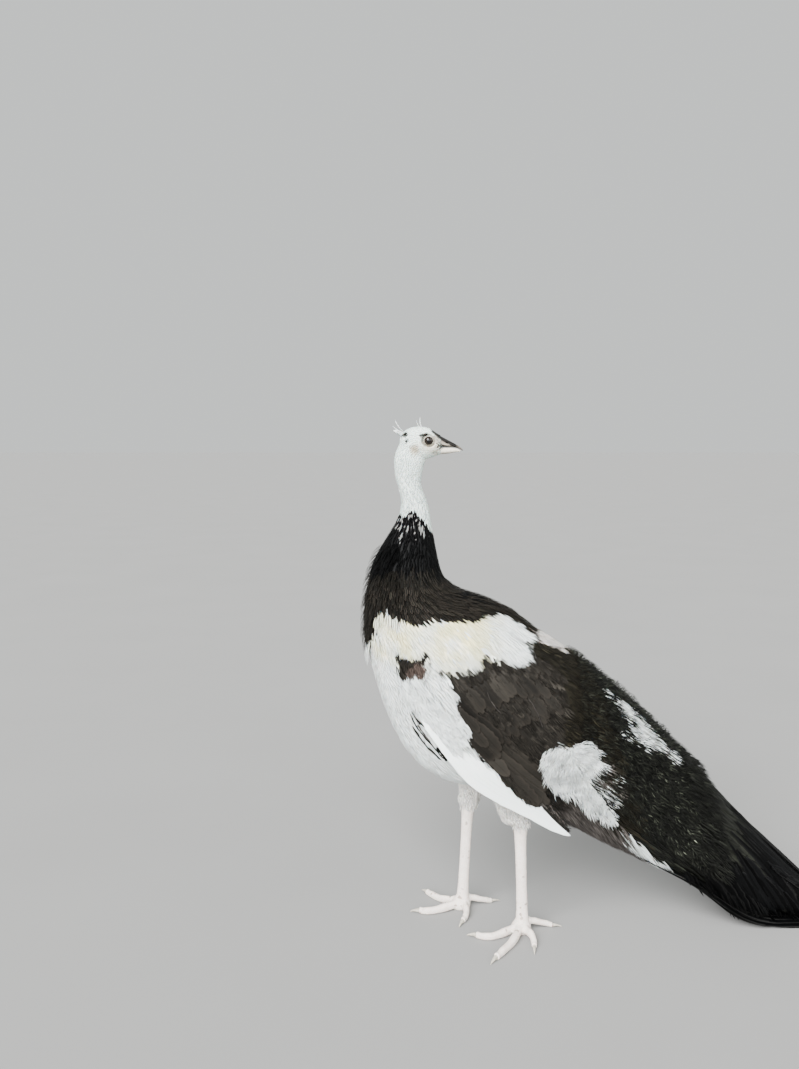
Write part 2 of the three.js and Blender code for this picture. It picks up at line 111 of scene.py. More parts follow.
# Classes of plumage, each with its own finish, and their numbers.
CLASSES = ["white", "black", "brown", "train", "grey"]
WHITES, BLACKS, BROWNS, TRAINS, GREYS = range(len(CLASSES))

draw = np.random.default_rng(7)


# ---- tools ----------------------------------------------------------------------------

def metres(points):
    """Places in metres, measured from the bird's middle on the floor."""
    return (np.asarray(points, float) - ORIGIN) / 1000


def unit(vectors):
    """Vectors of length 1 in the same directions."""
    return vectors / np.maximum(np.linalg.norm(vectors, axis=-1, keepdims=True), 1e-9)


def smooth(low, high, value):
    """0 at low and before it, 1 at high and beyond it, and an even curve between them."""
    share = np.clip((value - low) / (high - low), 0, 1)
    return share * share * (3 - 2 * share)


def blend(colour, shade, share):
    """Colours moved by this share towards another shade."""
    return colour + (np.asarray(shade) - colour) * np.clip(share, 0, 1)[:, None]


def oval(x, z, middle, half, inner=2, outer=1):
    """A soft patch seen from the side: 1 in its middle and falling off past its half widths."""
    u, v = (x - middle[0]) / half[0], (z - middle[1]) / half[1]
    return np.exp(-(u ** inner + v ** inner) ** outer)


def inside(outline, x, z):
    """Whether each point lies inside a closed outline."""
    found = np.zeros(len(x), bool)
    for (x0, z0), (x1, z1) in zip(outline, outline[1:] + outline[:1]):
        crosses = (z0 > z) != (z1 > z)
        at = x0 + (z - z0) * (x1 - x0) / (z1 - z0 + 1e-12)
        found ^= crosses & (x < at)
    return found


def ripple(points, size, salt=0.0):
    """Smooth noise from -1 to 1 with bumps of the given size."""
    return np.array([noise.noise(Vector(p) / size + Vector((salt, 0, 0))) for p in points])


def turned(vectors, axes, angles):
    """Vectors turned about unit axes."""
    cos, sin = np.cos(angles)[:, None], np.sin(angles)[:, None]
    along_axis = (vectors * axes).sum(1, keepdims=True) * axes
    return vectors * cos + np.cross(axes, vectors) * sin + along_axis * (1 - cos)


def put_object(name, data):
    """A new object in the scene."""
    item = bpy.data.objects.new(name, data)
    bpy.context.scene.collection.objects.link(item)
    return item


def make_object(name, points, faces):
    """A mesh object from points in millimetres and an array or list of faces."""
    mesh = bpy.data.meshes.new(name)
    if isinstance(faces, np.ndarray):
        sides = faces.shape[1]
        mesh.vertices.add(len(points))
        mesh.vertices.foreach_set("co", metres(points).astype(np.float32).ravel())
        mesh.loops.add(faces.size)
        mesh.loops.foreach_set("vertex_index", faces.astype(np.int32).ravel())
        mesh.polygons.add(len(faces))
        mesh.polygons.foreach_set("loop_start", np.arange(0, faces.size, sides, dtype=np.int32))
        mesh.update(calc_edges=True)
    else:
        mesh.from_pydata(metres(points).tolist(), [], faces)
    mesh.polygons.foreach_set("use_smooth", [True] * len(mesh.polygons))
    return put_object(name, mesh)


def paint(piece, colours):
    """A colour and one more value at each point."""
    layer = piece.data.color_attributes.new("tint", "FLOAT_COLOR", "POINT")
    layer.data.foreach_set("color", np.asarray(colours, np.float32).ravel())


def map_points(piece, name, places):
    """A UV map with one place for each point."""
    layer = piece.data.uv_layers.new(name=name)
    corners = np.empty(len(piece.data.loops), np.int32)
    piece.data.loops.foreach_get("vertex_index", corners)
    layer.data.foreach_set("uv", np.asarray(places, np.float32)[corners].ravel())


def keep(piece, slot, material, *nodes):
    """The piece rides on the bird, stands for these nodes and has this finish."""
    piece.data.materials.append(material)
    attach(piece, "root")
    if nodes:
        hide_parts(*nodes)
    return piece


# ---- skin -----------------------------------------------------------------------------

FLESH = sorted(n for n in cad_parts
               if n.startswith(("head", "neck_", "trunk", "train", "undertail", "wing_",
                                "primaries_", "thigh_", "tarsus_", "foot_", "toe_")))
OVERLAP = 0.4  # grown by this, neighbouring nodes run into each other
SKIN_VOXEL = 2.6
FINE_VOXEL = 0.8


def arrays(mesh):
    """A mesh's points in millimetres, its edges, and its faces as lists."""
    points = np.empty(len(mesh.vertices) * 3)
    mesh.vertices.foreach_get("co", points)
    edges = np.empty(len(mesh.edges) * 2, np.int64)
    mesh.edges.foreach_get("vertices", edges)
    faces = [tuple(p.vertices) for p in mesh.polygons]
    return points.reshape(-1, 3) * 1000 + ORIGIN, edges.reshape(-1, 2), faces


def relaxed(points, edges, weights, rounds):
    """Points moved towards the middle of their neighbours."""
    count = np.bincount(edges.ravel(), minlength=len(points))[:, None]
    share = 0.5 * np.asarray(weights)[:, None]
    for _ in range(rounds):
        total = np.stack([
            np.bincount(edges[:, 0], points[edges[:, 1], c], len(points))
            + np.bincount(edges[:, 1], points[edges[:, 0], c], len(points))
            for c in range(3)], axis=1)
        points = points + share * (total / np.maximum(count, 1) - points)
    return points


def remeshed(names, voxel, overlap=OVERLAP):
    """One closed mesh around the named nodes."""
    work = bmesh.new()
    for name in names:
        work.from_mesh(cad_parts[name].data)
    bmesh.ops.remove_doubles(work, verts=work.verts, dist=1e-5)
    work.normal_update()
    for v in work.verts:
        v.co += v.normal * overlap / 1000
    mesh = bpy.data.meshes.new("work")
    work.to_mesh(mesh)
    work.free()
    piece = put_object("work", mesh)
    modifier = piece.modifiers.new("remesh", "REMESH")
    modifier.mode = "VOXEL"
    modifier.voxel_size = voxel / 1000
    evaluated = piece.evaluated_get(bpy.context.evaluated_depsgraph_get())
    result = arrays(evaluated.to_mesh())
    bpy.data.objects.remove(piece)
    bpy.data.meshes.remove(mesh)
    return result


def fine_shape(names, voxel, rounds):
    """The named nodes as a smooth closed mesh, with a tree to find its nearest points."""
    points, edges, faces = remeshed(names, voxel)
    points = relaxed(points, edges, np.ones(len(points)), rounds)
    return BVHTree.FromPolygons(points.tolist(), faces)


def refined(points, faces, choose):
    """The mesh with its faces halved where choose(points) is true."""
    work = bmesh.new()
    verts = [work.verts.new(p) for p in points]
    for face in faces:
        work.faces.new([verts[k] for k in face])
    work.verts.index_update()
    chosen = choose(points)
    edges = [e for e in work.edges if chosen[e.verts[0].index] and chosen[e.verts[1].index]]
    bmesh.ops.subdivide_edges(work, edges=edges, cuts=1, use_grid_fill=True)
    work.verts.index_update()
    points = np.array([v.co for v in work.verts])
    faces = [tuple(v.index for v in f.verts) for f in work.faces]
    work.free()
    return points, faces


def edges_of(faces):
    """Every edge once, as two point numbers."""
    pairs = {(min(a, b), max(a, b)) for f in faces for a, b in zip(f, f[1:] + f[:1])}
    return np.array(sorted(pairs))


def normals_of(points, faces):
    """The normal at each point, and the faces cut into triangles."""
    triangles = np.array([(f[0], f[k], f[k + 1]) for f in faces for k in range(1, len(f) - 1)])
    a, b, c = (points[triangles[:, k]] for k in range(3))
    face_normals = np.cross(b - a, c - a)
    total = np.stack([
        sum(np.bincount(triangles[:, k], face_normals[:, axis], len(points)) for k in range(3))
        for axis in range(3)], axis=1)
    return unit(total), triangles


# The spine, finely divided, with its length so far.
spine_rows = np.array(SPINE, float)
steps = np.linspace(0, len(SPINE) - 1, 320)
SPINE_POINTS = np.stack([np.interp(steps, range(len(SPINE)), spine_rows[:, c]) for c in (0, 1)], 1)
for _ in range(12):
    SPINE_POINTS[1:-1] = (SPINE_POINTS[:-2] + 2 * SPINE_POINTS[1:-1] + SPINE_POINTS[2:]) / 4
SPINE_AHEAD = unit(np.gradient(SPINE_POINTS, axis=0))
spine_steps = np.linalg.norm(np.diff(SPINE_POINTS, axis=0), axis=1)
SPINE_LENGTH = np.concatenate([[0], np.cumsum(spine_steps)])
NECK_FROM, NECK_TO = 75, 190  # stations along it, from the bill
BODY_FROM, TRAIN_FROM = 270, 560
AT_ONCE = 20000  # points compared with the spine in one go


def station_index(points):
    """The number of the spine's nearest point."""
    found = np.empty(len(points), int)
    for start in range(0, len(points), AT_ONCE):
        part = points[start:start + AT_ONCE, None, [0, 2]] - SPINE_POINTS[None]
        found[start:start + AT_ONCE] = (part ** 2).sum(-1).argmin(1)
    return found


def near(points, tree):
    """The nearest place and normal on a tree's surface for each point, and the distance."""
    places, normals, gaps = np.empty_like(points), np.empty_like(points), np.empty(len(points))
    for k, p in enumerate(points):
        place, normal, _, gap = tree.find_nearest(p)
        places[k], normals[k], gaps[k] = place, normal, gap
    return places, normals, gaps


def coat_depth(points, at):
    """How far the skin lies inside the outline of the coat."""
    depth = np.interp(at, [0, 50, NECK_FROM, NECK_TO, BODY_FROM, TRAIN_FROM, 760, 960],
                      [0.3, 0.4, 0.8, 1.2, 2.0, 4.0, 3.0, 0.6])
    bare = smooth(150, 185, points[:, 2]) + smooth(235, 260, points[:, 0])
    return depth * np.clip(bare, 0.06, 1)


HEAD_FROM = 652  # the head is above this height
LEG_TOP, LEG_BACK = 166, 226  # the bare legs are below and in front of these


def is_head(points):
    return points[:, 2] > HEAD_FROM


def is_leg(points):
    return (points[:, 2] < LEG_TOP) & (points[:, 0] < LEG_BACK)


def by_eye(points):
    """Whether each point lies on the skin over or around an eyeball."""
    away = np.hypot(points[:, 0] - EYE[0], points[:, 2] - EYE[2])
    return (away < 9.5) & (np.abs(points[:, 1]) > 9)


def sculpt_eyes(points):
    """Opens the skin over each eyeball and folds two lids around the opening."""
    x, z = points[:, 0] - EYE[0], points[:, 2] - EYE[2]
    along_lids = x * math.cos(0.2) - z * math.sin(0.2)
    across = x * math.sin(0.2) + z * math.cos(0.2)
    out = np.hypot(along_lids / 1.12, across)
    side = np.sign(points[:, 1])
    ball = EYE[1] + np.sqrt(np.maximum(EYE_RADIUS ** 2 - x * x - z * z, 0))
    rim = np.exp(-((out - LID_OPENING - 0.75) / 0.55) ** 2)
    fold = np.exp(-((out - LID_OPENING - 2.0) / 0.45) ** 2)
    ring = np.exp(-((out - LID_OPENING - 3.0) / 0.6) ** 2)
    lid = ball + 0.35 + 0.55 * rim - 0.25 * fold + 0.3 * ring
    sunk = ball - 2.6
    level = sunk + (lid - sunk) * smooth(LID_OPENING - 0.3, LID_OPENING + 0.45, out)
    share = (1 - smooth(LID_OPENING + 2.4, LID_OPENING + 4.8, out)) * (np.abs(points[:, 1]) > 8)
    moved = points.copy()
    moved[:, 1] += share * (side * level - points[:, 1])
    return moved


GAPE = ([44, 50, 56], [666.5, 669.5, 672.8])  # the crease behind the bill: x, and z there


def sculpt_face(points, normals):
    """The crease of the gape, the swelling of the cheek and the rim of the ear."""
    x, z = points[:, 0], points[:, 2]
    fold = np.exp(-((z - np.interp(x, *GAPE)) / 0.8) ** 2) * smooth(43, 47, x)
    cheek = oval(x, z, (40, 669), (7, 3.5))
    ear = np.exp(-(((np.hypot(x - 21, z - 672) - 6) / 1.4) ** 2))
    wrinkle = ripple(points * [1, 0.4, 1], 1.6) * oval(x, z, (47, 675), (9, 9))
    return points + normals * (0.5 * cheek - 0.6 * fold + 0.25 * ear + 0.22 * wrinkle)[:, None]


ANKLES = ([172.0, -36.0], [92.0, 29.0])  # x and y of the left one and of the right one
SCUTE, TOE_SCUTE = 4.6, 3.7  # length of one scute on the shank and on a toe


def leg_relief(points, normals):
    """Broad scutes down the front of each shank and along the toes, small scales beside them."""
    z = points[:, 2]
    left = points[:, 1] < 0
    ankle = np.where(left[:, None], *ANKLES)
    out = np.linalg.norm(points[:, :2] - ankle, axis=1)
    cells = np.array([noise.voronoi(Vector(p) / 2.6)[0][:2] for p in points])
    small = smooth(0.02, 0.25, cells[:, 1] - cells[:, 0])
    shank = smooth(18, 26, z)
    front = smooth(0.1, 0.6, -normals[:, 0]) * shank
    band = (z / SCUTE + 0.25 * np.sin(z / 9)) % 1
    scute = smooth(0, 0.16, band) * (1 - 0.5 * band)
    top = smooth(0.2, 0.7, normals[:, 2]) * (1 - shank) * smooth(10, 16, out)
    toe_band = (out / TOE_SCUTE) % 1
    toe_scute = smooth(0, 0.2, toe_band) * (1 - 0.5 * toe_band)
    relief = 0.28 * small * (1 - np.maximum(front, top))
    relief = relief + 0.55 * scute * front + 0.5 * toe_scute * top
    return points + normals * (relief - 0.2)[:, None] * (1 - smooth(150, LEG_TOP, z))[:, None]


def draw_to(points, tree, share):
    """Moves points by this share towards a tree's surface."""
    chosen = np.flatnonzero(share > 0)
    found = near(points[chosen], tree)[0]
    points[chosen] += share[chosen, None] * (found - points[chosen])


def cover_bill_root(points, normals):
    """Draws the skin of the forehead and the chin over the root of the bill."""
    front = smooth(52.5, 55, points[:, 0]) * is_head(points)
    cover = 0.55 * front * smooth(0.15, 0.5, np.hypot(normals[:, 1], normals[:, 2]))
    points += normals * [0, 1, 1] * cover[:, None]
    points[:, 0] += 2.4 * front * (0.7 + 0.3 * np.cos((points[:, 2] - 676) * 0.7))


def build_skin():
    """One closed skin: coarse on the body, fine on head and legs, finest around the eyes."""
    points, edges, faces = remeshed(FLESH, SKIN_VOXEL)
    soft = np.where(points[:, 2] > 190, 1.0, 0.5) * ~(is_leg(points) | is_head(points))
    points = relaxed(points, edges, soft, 22)
    for choose in (is_head, is_head, is_leg, is_leg):
        points, faces = refined(points, faces, choose)
    draw_to(points, fine_shape(["head", "neck_upper"], FINE_VOXEL, 22),
            smooth(HEAD_FROM, 662, points[:, 2]))
    leg_names = [n for n in FLESH if n.startswith(("tarsus_", "foot_", "toe_"))]
    draw_to(points, fine_shape(leg_names, FINE_VOXEL, 8),
            (1 - smooth(140, 150, points[:, 2])) * is_leg(points))
    points, faces = refined(*refined(points, faces, by_eye), by_eye)
    edges = edges_of(faces)
    points = relaxed(points, edges, np.where(is_leg(points) | is_head(points), 0.6, 0.3), 2)
    normals, _ = normals_of(points, faces)
    at = SPINE_LENGTH[station_index(points)]
    points = points - normals * coat_depth(points, at)[:, None]
    points[:, 2] = np.maximum(points[:, 2], 0.0)
    legs = np.flatnonzero(is_leg(points))
    points[legs] = leg_relief(points[legs], normals[legs])
    cover_bill_root(points, normals)
    face = np.flatnonzero(is_head(points) & (points[:, 0] > 5))
    points[face] = sculpt_face(points[face], normals[face])
    by_lids = np.hypot(points[:, 0] - EYE[0], points[:, 2] - EYE[2]) < 11
    eyes = np.flatnonzero(by_eye(points) | by_lids)
    points[eyes] = sculpt_eyes(points[eyes])
    points[:, 2] = np.maximum(points[:, 2], 0.0)
    return points, faces


# ---- markings -------------------------------------------------------------------------

def marking(points, ragged=3.0):
    """The class of plumage at each point of the bird, and its colour and paleness of fringe."""
    wander = np.stack([ripple(points, 14, 3.1), ripple(points, 14, 9.7)], 1) * ragged
    x, z = points[:, 0] + wander[:, 0], points[:, 2] + wander[:, 1]
    y = np.abs(points[:, 1])
    fine, finest, broad = (ripple(points, *s) for s in ((6, 5.0), (3, 5.5), (24, 1.0)))
    kind = np.zeros(len(points), int)
    colour = np.tile(np.array(WHITE), (len(points), 1))
    fringe = np.zeros(len(points))

    def put(where, number, shade, pale=0.0):
        kind[where] = number
        colour[where] = shade
        fringe[where] = pale

    cream = smooth(370, 420, z) * smooth(-60, -20, x) * (1 - smooth(95, 150, x)) * (fine > -0.45)
    colour = blend(colour, CREAM, cream * np.clip(0.75 + 1.1 * broad, 0, 1))
    dark = inside(DARK, x, z)
    put(dark, BROWNS, MANTLE, 0.75)
    black_from = np.interp(x, *np.array(NECK_BLACK_END).T) + 10 * fine + 14 * finest
    put(dark & (z > black_from), BLACKS, BLACK)
    put(dark & (x > 60) & (z < 420) & (y > 60), BROWNS, WING_DARK, 0.22)
    back = dark & (x > 150) & ((y < 75) | (x > 215))
    put(back, BROWNS, BACK_DARK, 0.18)
    put(dark & (x + 0.35 * (z - 250) > 300), TRAINS, TRAIN_DARK, 0.3)
    put(inside(GREY_FLANK, x, z), GREYS, GREY_BROWN, 0.3)
    put(inside(NECK_WHITE, x, z), WHITES, NECK_PALE)
    flecks = (z > 545) & (z < 582) & (finest > 0.12 + (582 - z) / 80) & (kind == BLACKS)
    put(flecks, WHITES, NECK_FLECK)
    speckled = inside(SPECKLED, x, z)
    put(speckled & (fine > 0.05), GREYS, GREY_BROWN, 0.6)
    put(speckled & (finest > 0.02 + (x - 262) / 90), WHITES, WHITE)
    for outline in (FLUFF, WHITE_LINE, WHITE_TUFT):
        put(inside(outline, x, z), WHITES, WHITE)
    put(inside(BACK_STREAKS, x, z) & (fine > -0.35) & (y > BACK_STREAK_SIDE), WHITES, WHITE)
    put(inside(RIDGE_STREAK, x, z), WHITES, PINKISH)
    spot = inside(SHOULDER_SPOT, x, z)
    put(spot, BROWNS, WING_DARK, 0.4)
    put(spot & (x > 13 + 0.4 * (z - 385)) & (z < 398), BROWNS, SPOT_BROWN, 0.4)
    put(np.hypot(points[:, 0] + 29, points[:, 2] - 424) < 3, BLACKS, BLACK)
    return kind, colour, fringe


# Dark lines of the face, seen from the side: the culmen's root, the gape and the brow.
# Each has its half width, how far to the side it reaches and how dark it is.
FACE_LINES = [([(46.5, 694.8), (54, 689.8), (62, 683.5)], 4.0, 9.5, 0.97),
              ([(56, 674), (51, 669.5), (46, 666.5)], 1.0, 20, 0.45),
              ([(28.5, 689.8), (33, 691.0), (37, 691.6)], 2.1, 20, 0.97)]
LORE_PATCH = (54.5, 676.5, 6.5, 5.4)  # middle x, z and half length and height
JAW_PATCH = (48.0, 667.5, 9.0, 3.6)
NAPE_SPOTS = [(8.6, 691.8, 3.1), (4.4, 690.4, 1.9), (10.2, 683.2, 2.2)]


def line_distance(x, z, line):
    """How far each point lies from a line of points, seen from the side."""
    best = np.full(len(x), 1e6)
    for (x0, z0), (x1, z1) in zip(line, line[1:]):
        step = (x1 - x0, z1 - z0)
        share = ((x - x0) * step[0] + (z - z0) * step[1]) / (step[0] ** 2 + step[1] ** 2)
        share = np.clip(share, 0, 1)
        best = np.minimum(best, np.hypot(x - x0 - share * step[0], z - z0 - share * step[1]))
    return best


def face_marking(points, colour):
    """Bare pale skin, the ear patch, dark lines at bill and brow, and two nape spots."""
    x, z = points[:, 0], points[:, 2]
    aside = np.abs(points[:, 1])
    head = smooth(648, 662, z)
    bare = oval(x, z, (42, 679), (13, 12), inner=4) * head
    lid = np.hypot(x - EYE[0], z - EYE[2]) / LID_OPENING
    mottle = ripple(points, 1.8, 6.0)

    def tone(shade, weight):
        colour[:] = blend(colour, shade, weight)

    tone(FACE, bare)
    tone(EAR, 0.85 * head * oval(x, z, (20.5, 671.5), (7, 7.5), outer=2))
    tone(EAR, 0.4 * head * smooth(0, 0.5, ripple(points, 4, 8.0)) * bare)
    tone(EYE_RING, 0.75 * oval(x, z, (50, 686), (5.5, 6), outer=2) * head)
    tone(EAR, 0.45 * smooth(0.0, 0.5, mottle) * oval(x, z, (34, 684), (9, 8)) * head)
    tone(EYE_RING, 0.5 * (1 - smooth(1.3, 1.9, lid)) * (0.8 + mottle))
    for shade, patch, cover in ((BLACK, LORE_PATCH, 0.95), (EAR, JAW_PATCH, 0.5)):
        away = ((x - patch[0]) / patch[2]) ** 2 + ((z - patch[1]) / patch[3]) ** 2
        share = smooth(0.0, 0.35, 0.42 + 1.1 * mottle - 0.6 * away) * (away < 1.6)
        tone(shade, cover * share * head)
    tone(BLACK, 0.92 * (1 - smooth(1.02, 1.34, lid + 0.12 * mottle)) * (aside > 8))
    tone(EYE_RING, 0.4 * np.exp(-((lid - 1.75) / 0.10) ** 2) * smooth(2, -2, z - EYE[2]))
    for line, half, widest, strength in FACE_LINES:
        gap = line_distance(x, z, line) + 0.8 * mottle
        narrow = smooth(widest + 1.5, widest - 1.0, aside)
        tone(BLACK, strength * (1 - smooth(half * 0.5, half * 1.4, gap)) * narrow)
    for spot_x, spot_z, size in NAPE_SPOTS:
        away = np.hypot(x - spot_x, z - spot_z) + 0.5 * mottle
        tone(MANTLE, 1.4 * np.exp(-(away / size) ** 4))
    return colour


def leg_marking(points, colour):
    """Pinkish legs with a few dark spots."""
    spots = smooth(0.38, 0.5, ripple(points, 5, 2.0)) * smooth(-0.1, 0.3, ripple(points, 30, 6.0))
    shade = blend(np.array(LEG), LEG_SPOT, 0.7 * spots)
    shade = shade * (1 + 0.08 * ripple(points, 8, 4.0))[:, None]
    bare = (1 - smooth(146, 160, points[:, 2])) * (points[:, 0] < 232)
    return blend(colour, shade, bare)


# ---- materials ------------------------------------------------------------------------

class Graph:
    """A node material with short ways to add and link its nodes."""

    def __init__(self, name, **finish):
        self.material = bpy.data.materials.new(name)
        self.material.use_nodes = True
        self.nodes = self.material.node_tree.nodes
        self.shader = self.nodes["Principled BSDF"]
        for socket, value in finish.items():
            self.shader.inputs[socket.replace("_", " ")].default_value = value

    def add(self, kind, *inputs, **settings):
        node = self.nodes.new(kind)
        for key, value in settings.items():
            setattr(node, key, value)
        for socket, value in zip(node.inputs, inputs):
            self.feed(socket, value)
        return node

    def feed(self, socket, value):
        if isinstance(value, bpy.types.NodeSocket):
            self.material.node_tree.links.new(value, socket)
        else:
            socket.default_value = value

    def math(self, operation, *inputs):
        return self.add("ShaderNodeMath", *inputs, operation=operation).outputs[0]

    def ramp(self, value, low, high, to_low=0.0, to_high=1.0):
        node = self.add("ShaderNodeMapRange", value, low, high, to_low, to_high,
                        interpolation_type="SMOOTHSTEP")
        return node.outputs[0]

    def mix(self, share, a, b, blend="MIX"):
        node = self.nodes.new("ShaderNodeMix")
        node.data_type = "RGBA"
        node.blend_type = blend
        for number, value in ((0, share), (6, a), (7, b)):
            self.feed(node.inputs[number], value)
        return node.outputs[2]

    def noise(self, scale, detail=3.0):
        where = self.add("ShaderNodeTexCoord").outputs["Object"]
        node = self.add("ShaderNodeTexNoise", where)
        self.feed(node.inputs["Scale"], scale)
        self.feed(node.inputs["Detail"], detail)
        return node.outputs[0]

    def bump(self, height, distance, strength=0.6):
        node = self.nodes.new("ShaderNodeBump")
        self.feed(node.inputs["Distance"], distance)
        self.feed(node.inputs["Strength"], strength)
        self.feed(node.inputs["Height"], height)
        self.feed(self.shader.inputs["Normal"], node.outputs[0])

    def tint(self):
        return self.add("ShaderNodeAttribute", attribute_name="tint")

    def colour(self, value):
        self.feed(self.shader.inputs["Base Color"], value)
        return self.material


BARBS = 130.0  # turns of the barbs' pattern along a vane, in radians
SLANT = 26.0  # by how much of it they run forward from the shaft to the edge


def plumage(name, fringe, shaft, contrast, **finish):
    """Feathers: the tint of each, its barbs, its shaft and a paler fringe."""
    g = Graph(name, **finish)
    tint = g.tint()
    place = g.add("ShaderNodeSeparateXYZ", g.add("ShaderNodeUVMap", uv_map="Vane").outputs[0])
    across, along_vane = place.outputs[0], place.outputs[1]
    side = g.math("MULTIPLY", g.math("ABSOLUTE", g.math("SUBTRACT", across, 0.5)), 2.0)
    phase = g.math("MULTIPLY", along_vane, BARBS)
    phase = g.math("SUBTRACT", phase, g.math("MULTIPLY", side, SLANT))
    barb = g.math("MULTIPLY_ADD", g.math("SINE", phase), 0.5, 0.5)
    colour = g.mix(g.noise(55.0), tint.outputs["Color"], (*[1.0 - contrast] * 3, 1), "MULTIPLY")
    colour = g.mix(g.math("MULTIPLY", barb, contrast), colour, (0.55, 0.55, 0.55, 1), "MULTIPLY")
    edge = g.math("MAXIMUM", g.ramp(side, 0.5, 1.0), g.ramp(along_vane, 0.8, 1.0))
    edge = g.math("MULTIPLY", edge, tint.outputs["Alpha"])
    colour = g.mix(edge, colour, (*fringe, 1))
    rachis = g.ramp(side, 0.03, 0.12, 0.55, 0.0)
    colour = g.mix(rachis, colour, (*shaft, 1), "MULTIPLY" if shaft[0] < 1 else "ADD")
    g.bump(g.math("MULTIPLY_ADD", barb, 0.5, rachis), 0.0002)
    return g.colour(colour)


def mottled(name, patches, spread, shade, grain, relief, **finish):
    """A painted surface, darker in soft patches, with a fine relief."""
    g = Graph(name, **finish)
    share = g.ramp(g.noise(*patches), *spread)
    g.bump(g.noise(*grain), *relief)
    return g.colour(g.mix(share, g.tint().outputs["Color"], (*shade, 1), "MULTIPLY"))


def eye_material():
    """A dark brown iris around a black pupil, under a wet cornea."""
    g = Graph("eye_wet", Roughness=0.05, IOR=1.33, Coat_Weight=0.25, Coat_Roughness=0.02)
    out = g.add("ShaderNodeAttribute", attribute_name="off_axis").outputs["Fac"]
    streaks = g.noise(900.0)
    iris = g.mix(streaks, (0.005, 0.003, 0.002, 1), (0.016, 0.009, 0.005, 1))
    pupil = g.ramp(out, 2.7, 3.0)
    colour = g.mix(pupil, (0.002, 0.002, 0.002, 1), iris)
    colour = g.mix(g.ramp(out, 4.3, 4.9), colour, (0.008, 0.006, 0.005, 1))
    return g.colour(colour)


PLUMAGE = {
    "white": plumage("feather_white", (0.90, 0.92, 0.89), (0.97, 0.96, 0.94), 0.05,
                     Roughness=0.85, Specular_IOR_Level=0.2, Subsurface_Weight=0.12,
                     Subsurface_Scale=0.003),
    "black": plumage("feather_black", (0.022, 0.022, 0.021), (0.7, 0.7, 0.7), 0.45,
                     Roughness=0.45, Specular_IOR_Level=0.035),
    "brown": plumage("feather_brown", (0.048, 0.038, 0.030), (0.55, 0.5, 0.45), 0.4,
                     Roughness=0.62, Specular_IOR_Level=0.08),
    "train": plumage("feather_train", (0.030, 0.031, 0.025), (0.6, 0.6, 0.55), 0.5,
                     Roughness=0.5, Specular_IOR_Level=0.10),
    "grey": plumage("feather_grey", (0.080, 0.066, 0.056), (0.6, 0.55, 0.5), 0.35,
                    Roughness=0.75, Specular_IOR_Level=0.15),
}
# How much the darkness of single feathers differs.
VARIED = {"white": 0.015, "black": 0.25, "brown": 0.35, "train": 0.75, "grey": 0.35}
SKIN_FINISH = mottled("bare_skin", (420.0,), (0.35, 0.7, 0.0, 0.5), (0.86, 0.80, 0.76),
                      (1500.0, 2.0), (0.0003, 0.5), Roughness=0.7, Specular_IOR_Level=0.12,
                      Subsurface_Weight=0.05, Subsurface_Scale=0.002)
HORN_FINISH = mottled("horn", (700.0, 4.0), (0.3, 0.75, 0.0, 0.6), (0.62, 0.58, 0.54),
                      (900.0, 4.0), (0.0002, 0.4), Roughness=0.42, Specular_IOR_Level=0.25)

# ---- the skin, and what is known about its surface --------------------------------------

skin_points, skin_faces = build_skin()
_, skin_triangles = normals_of(skin_points, skin_faces)
skin = make_object("skin", skin_points, skin_faces)
_, skin_colour, _ = marking(skin_points)
skin_colour[inside(FLUFF, skin_points[:, 0] + 2, skin_points[:, 2] - 2)] = WHITE
skin_colour = leg_marking(skin_points, face_marking(skin_points, skin_colour))
paint(skin, np.column_stack([skin_colour, np.zeros(len(skin_points))]))
keep(skin, "plumage_white", SKIN_FINISH, *FLESH)
SKIN_TREE = BVHTree.FromPolygons(skin_points.tolist(), skin_triangles.tolist())


def owners(points):
    """The name of the flesh nearest to each point."""
    corners, faces, names = [], [], []
    for name in FLESH:
        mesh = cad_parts[name].data
        start = len(corners)
        corners += [tuple(Vector(v.co) * 1000 + Vector(ORIGIN)) for v in mesh.vertices]
        faces += [tuple(start + k for k in p.vertices) for p in mesh.polygons]
        names += [name] * len(mesh.polygons)
    tree = BVHTree.FromPolygons(corners, faces)
    return np.array([names[tree.find_nearest(p)[2]] for p in points])


triangle_middles = skin_points[skin_triangles].mean(1)
triangle_owner = owners(triangle_middles)
corner_a, corner_b, corner_c = (skin_points[skin_triangles[:, k]] for k in range(3))
triangle_area = np.linalg.norm(np.cross(corner_b - corner_a, corner_c - corner_a), axis=1) / 2

WING_FLOW = unit(np.array([0.66, 0.0, -0.75]))
THIGH_FLOW = unit(np.array([0.12, 0.0, -1.0]))
BILL_FLOW = unit(np.array([1.0, 0.0, -0.5]))
FLUFF_MIDDLE = [228, 0, 268]  # the down of the hip fans out from here


def flow(points, lie):
    """The direction in which the coat lies."""
    index = station_index(points)
    ahead = SPINE_AHEAD[index]
    body = np.column_stack([ahead[:, 0], np.zeros(len(points)), ahead[:, 1]])
    if lie == "wing":
        body = 0.25 * body + 0.75 * WING_FLOW
    elif lie == "thigh":
        body = 0.3 * body + 0.7 * THIGH_FLOW
    elif lie == "bill":
        body = np.tile(BILL_FLOW, (len(points), 1))
    elif lie == "hang":
        body = 0.45 * body + 0.55 * THIGH_FLOW
    elif lie == "fluff":
        away = unit((points - FLUFF_MIDDLE) * [1, 0, 1])
        body = 0.2 * body + 0.5 * THIGH_FLOW + 0.6 * away
    return unit(body)


TRIES = 2.4  # random points tried for each square of the spacing


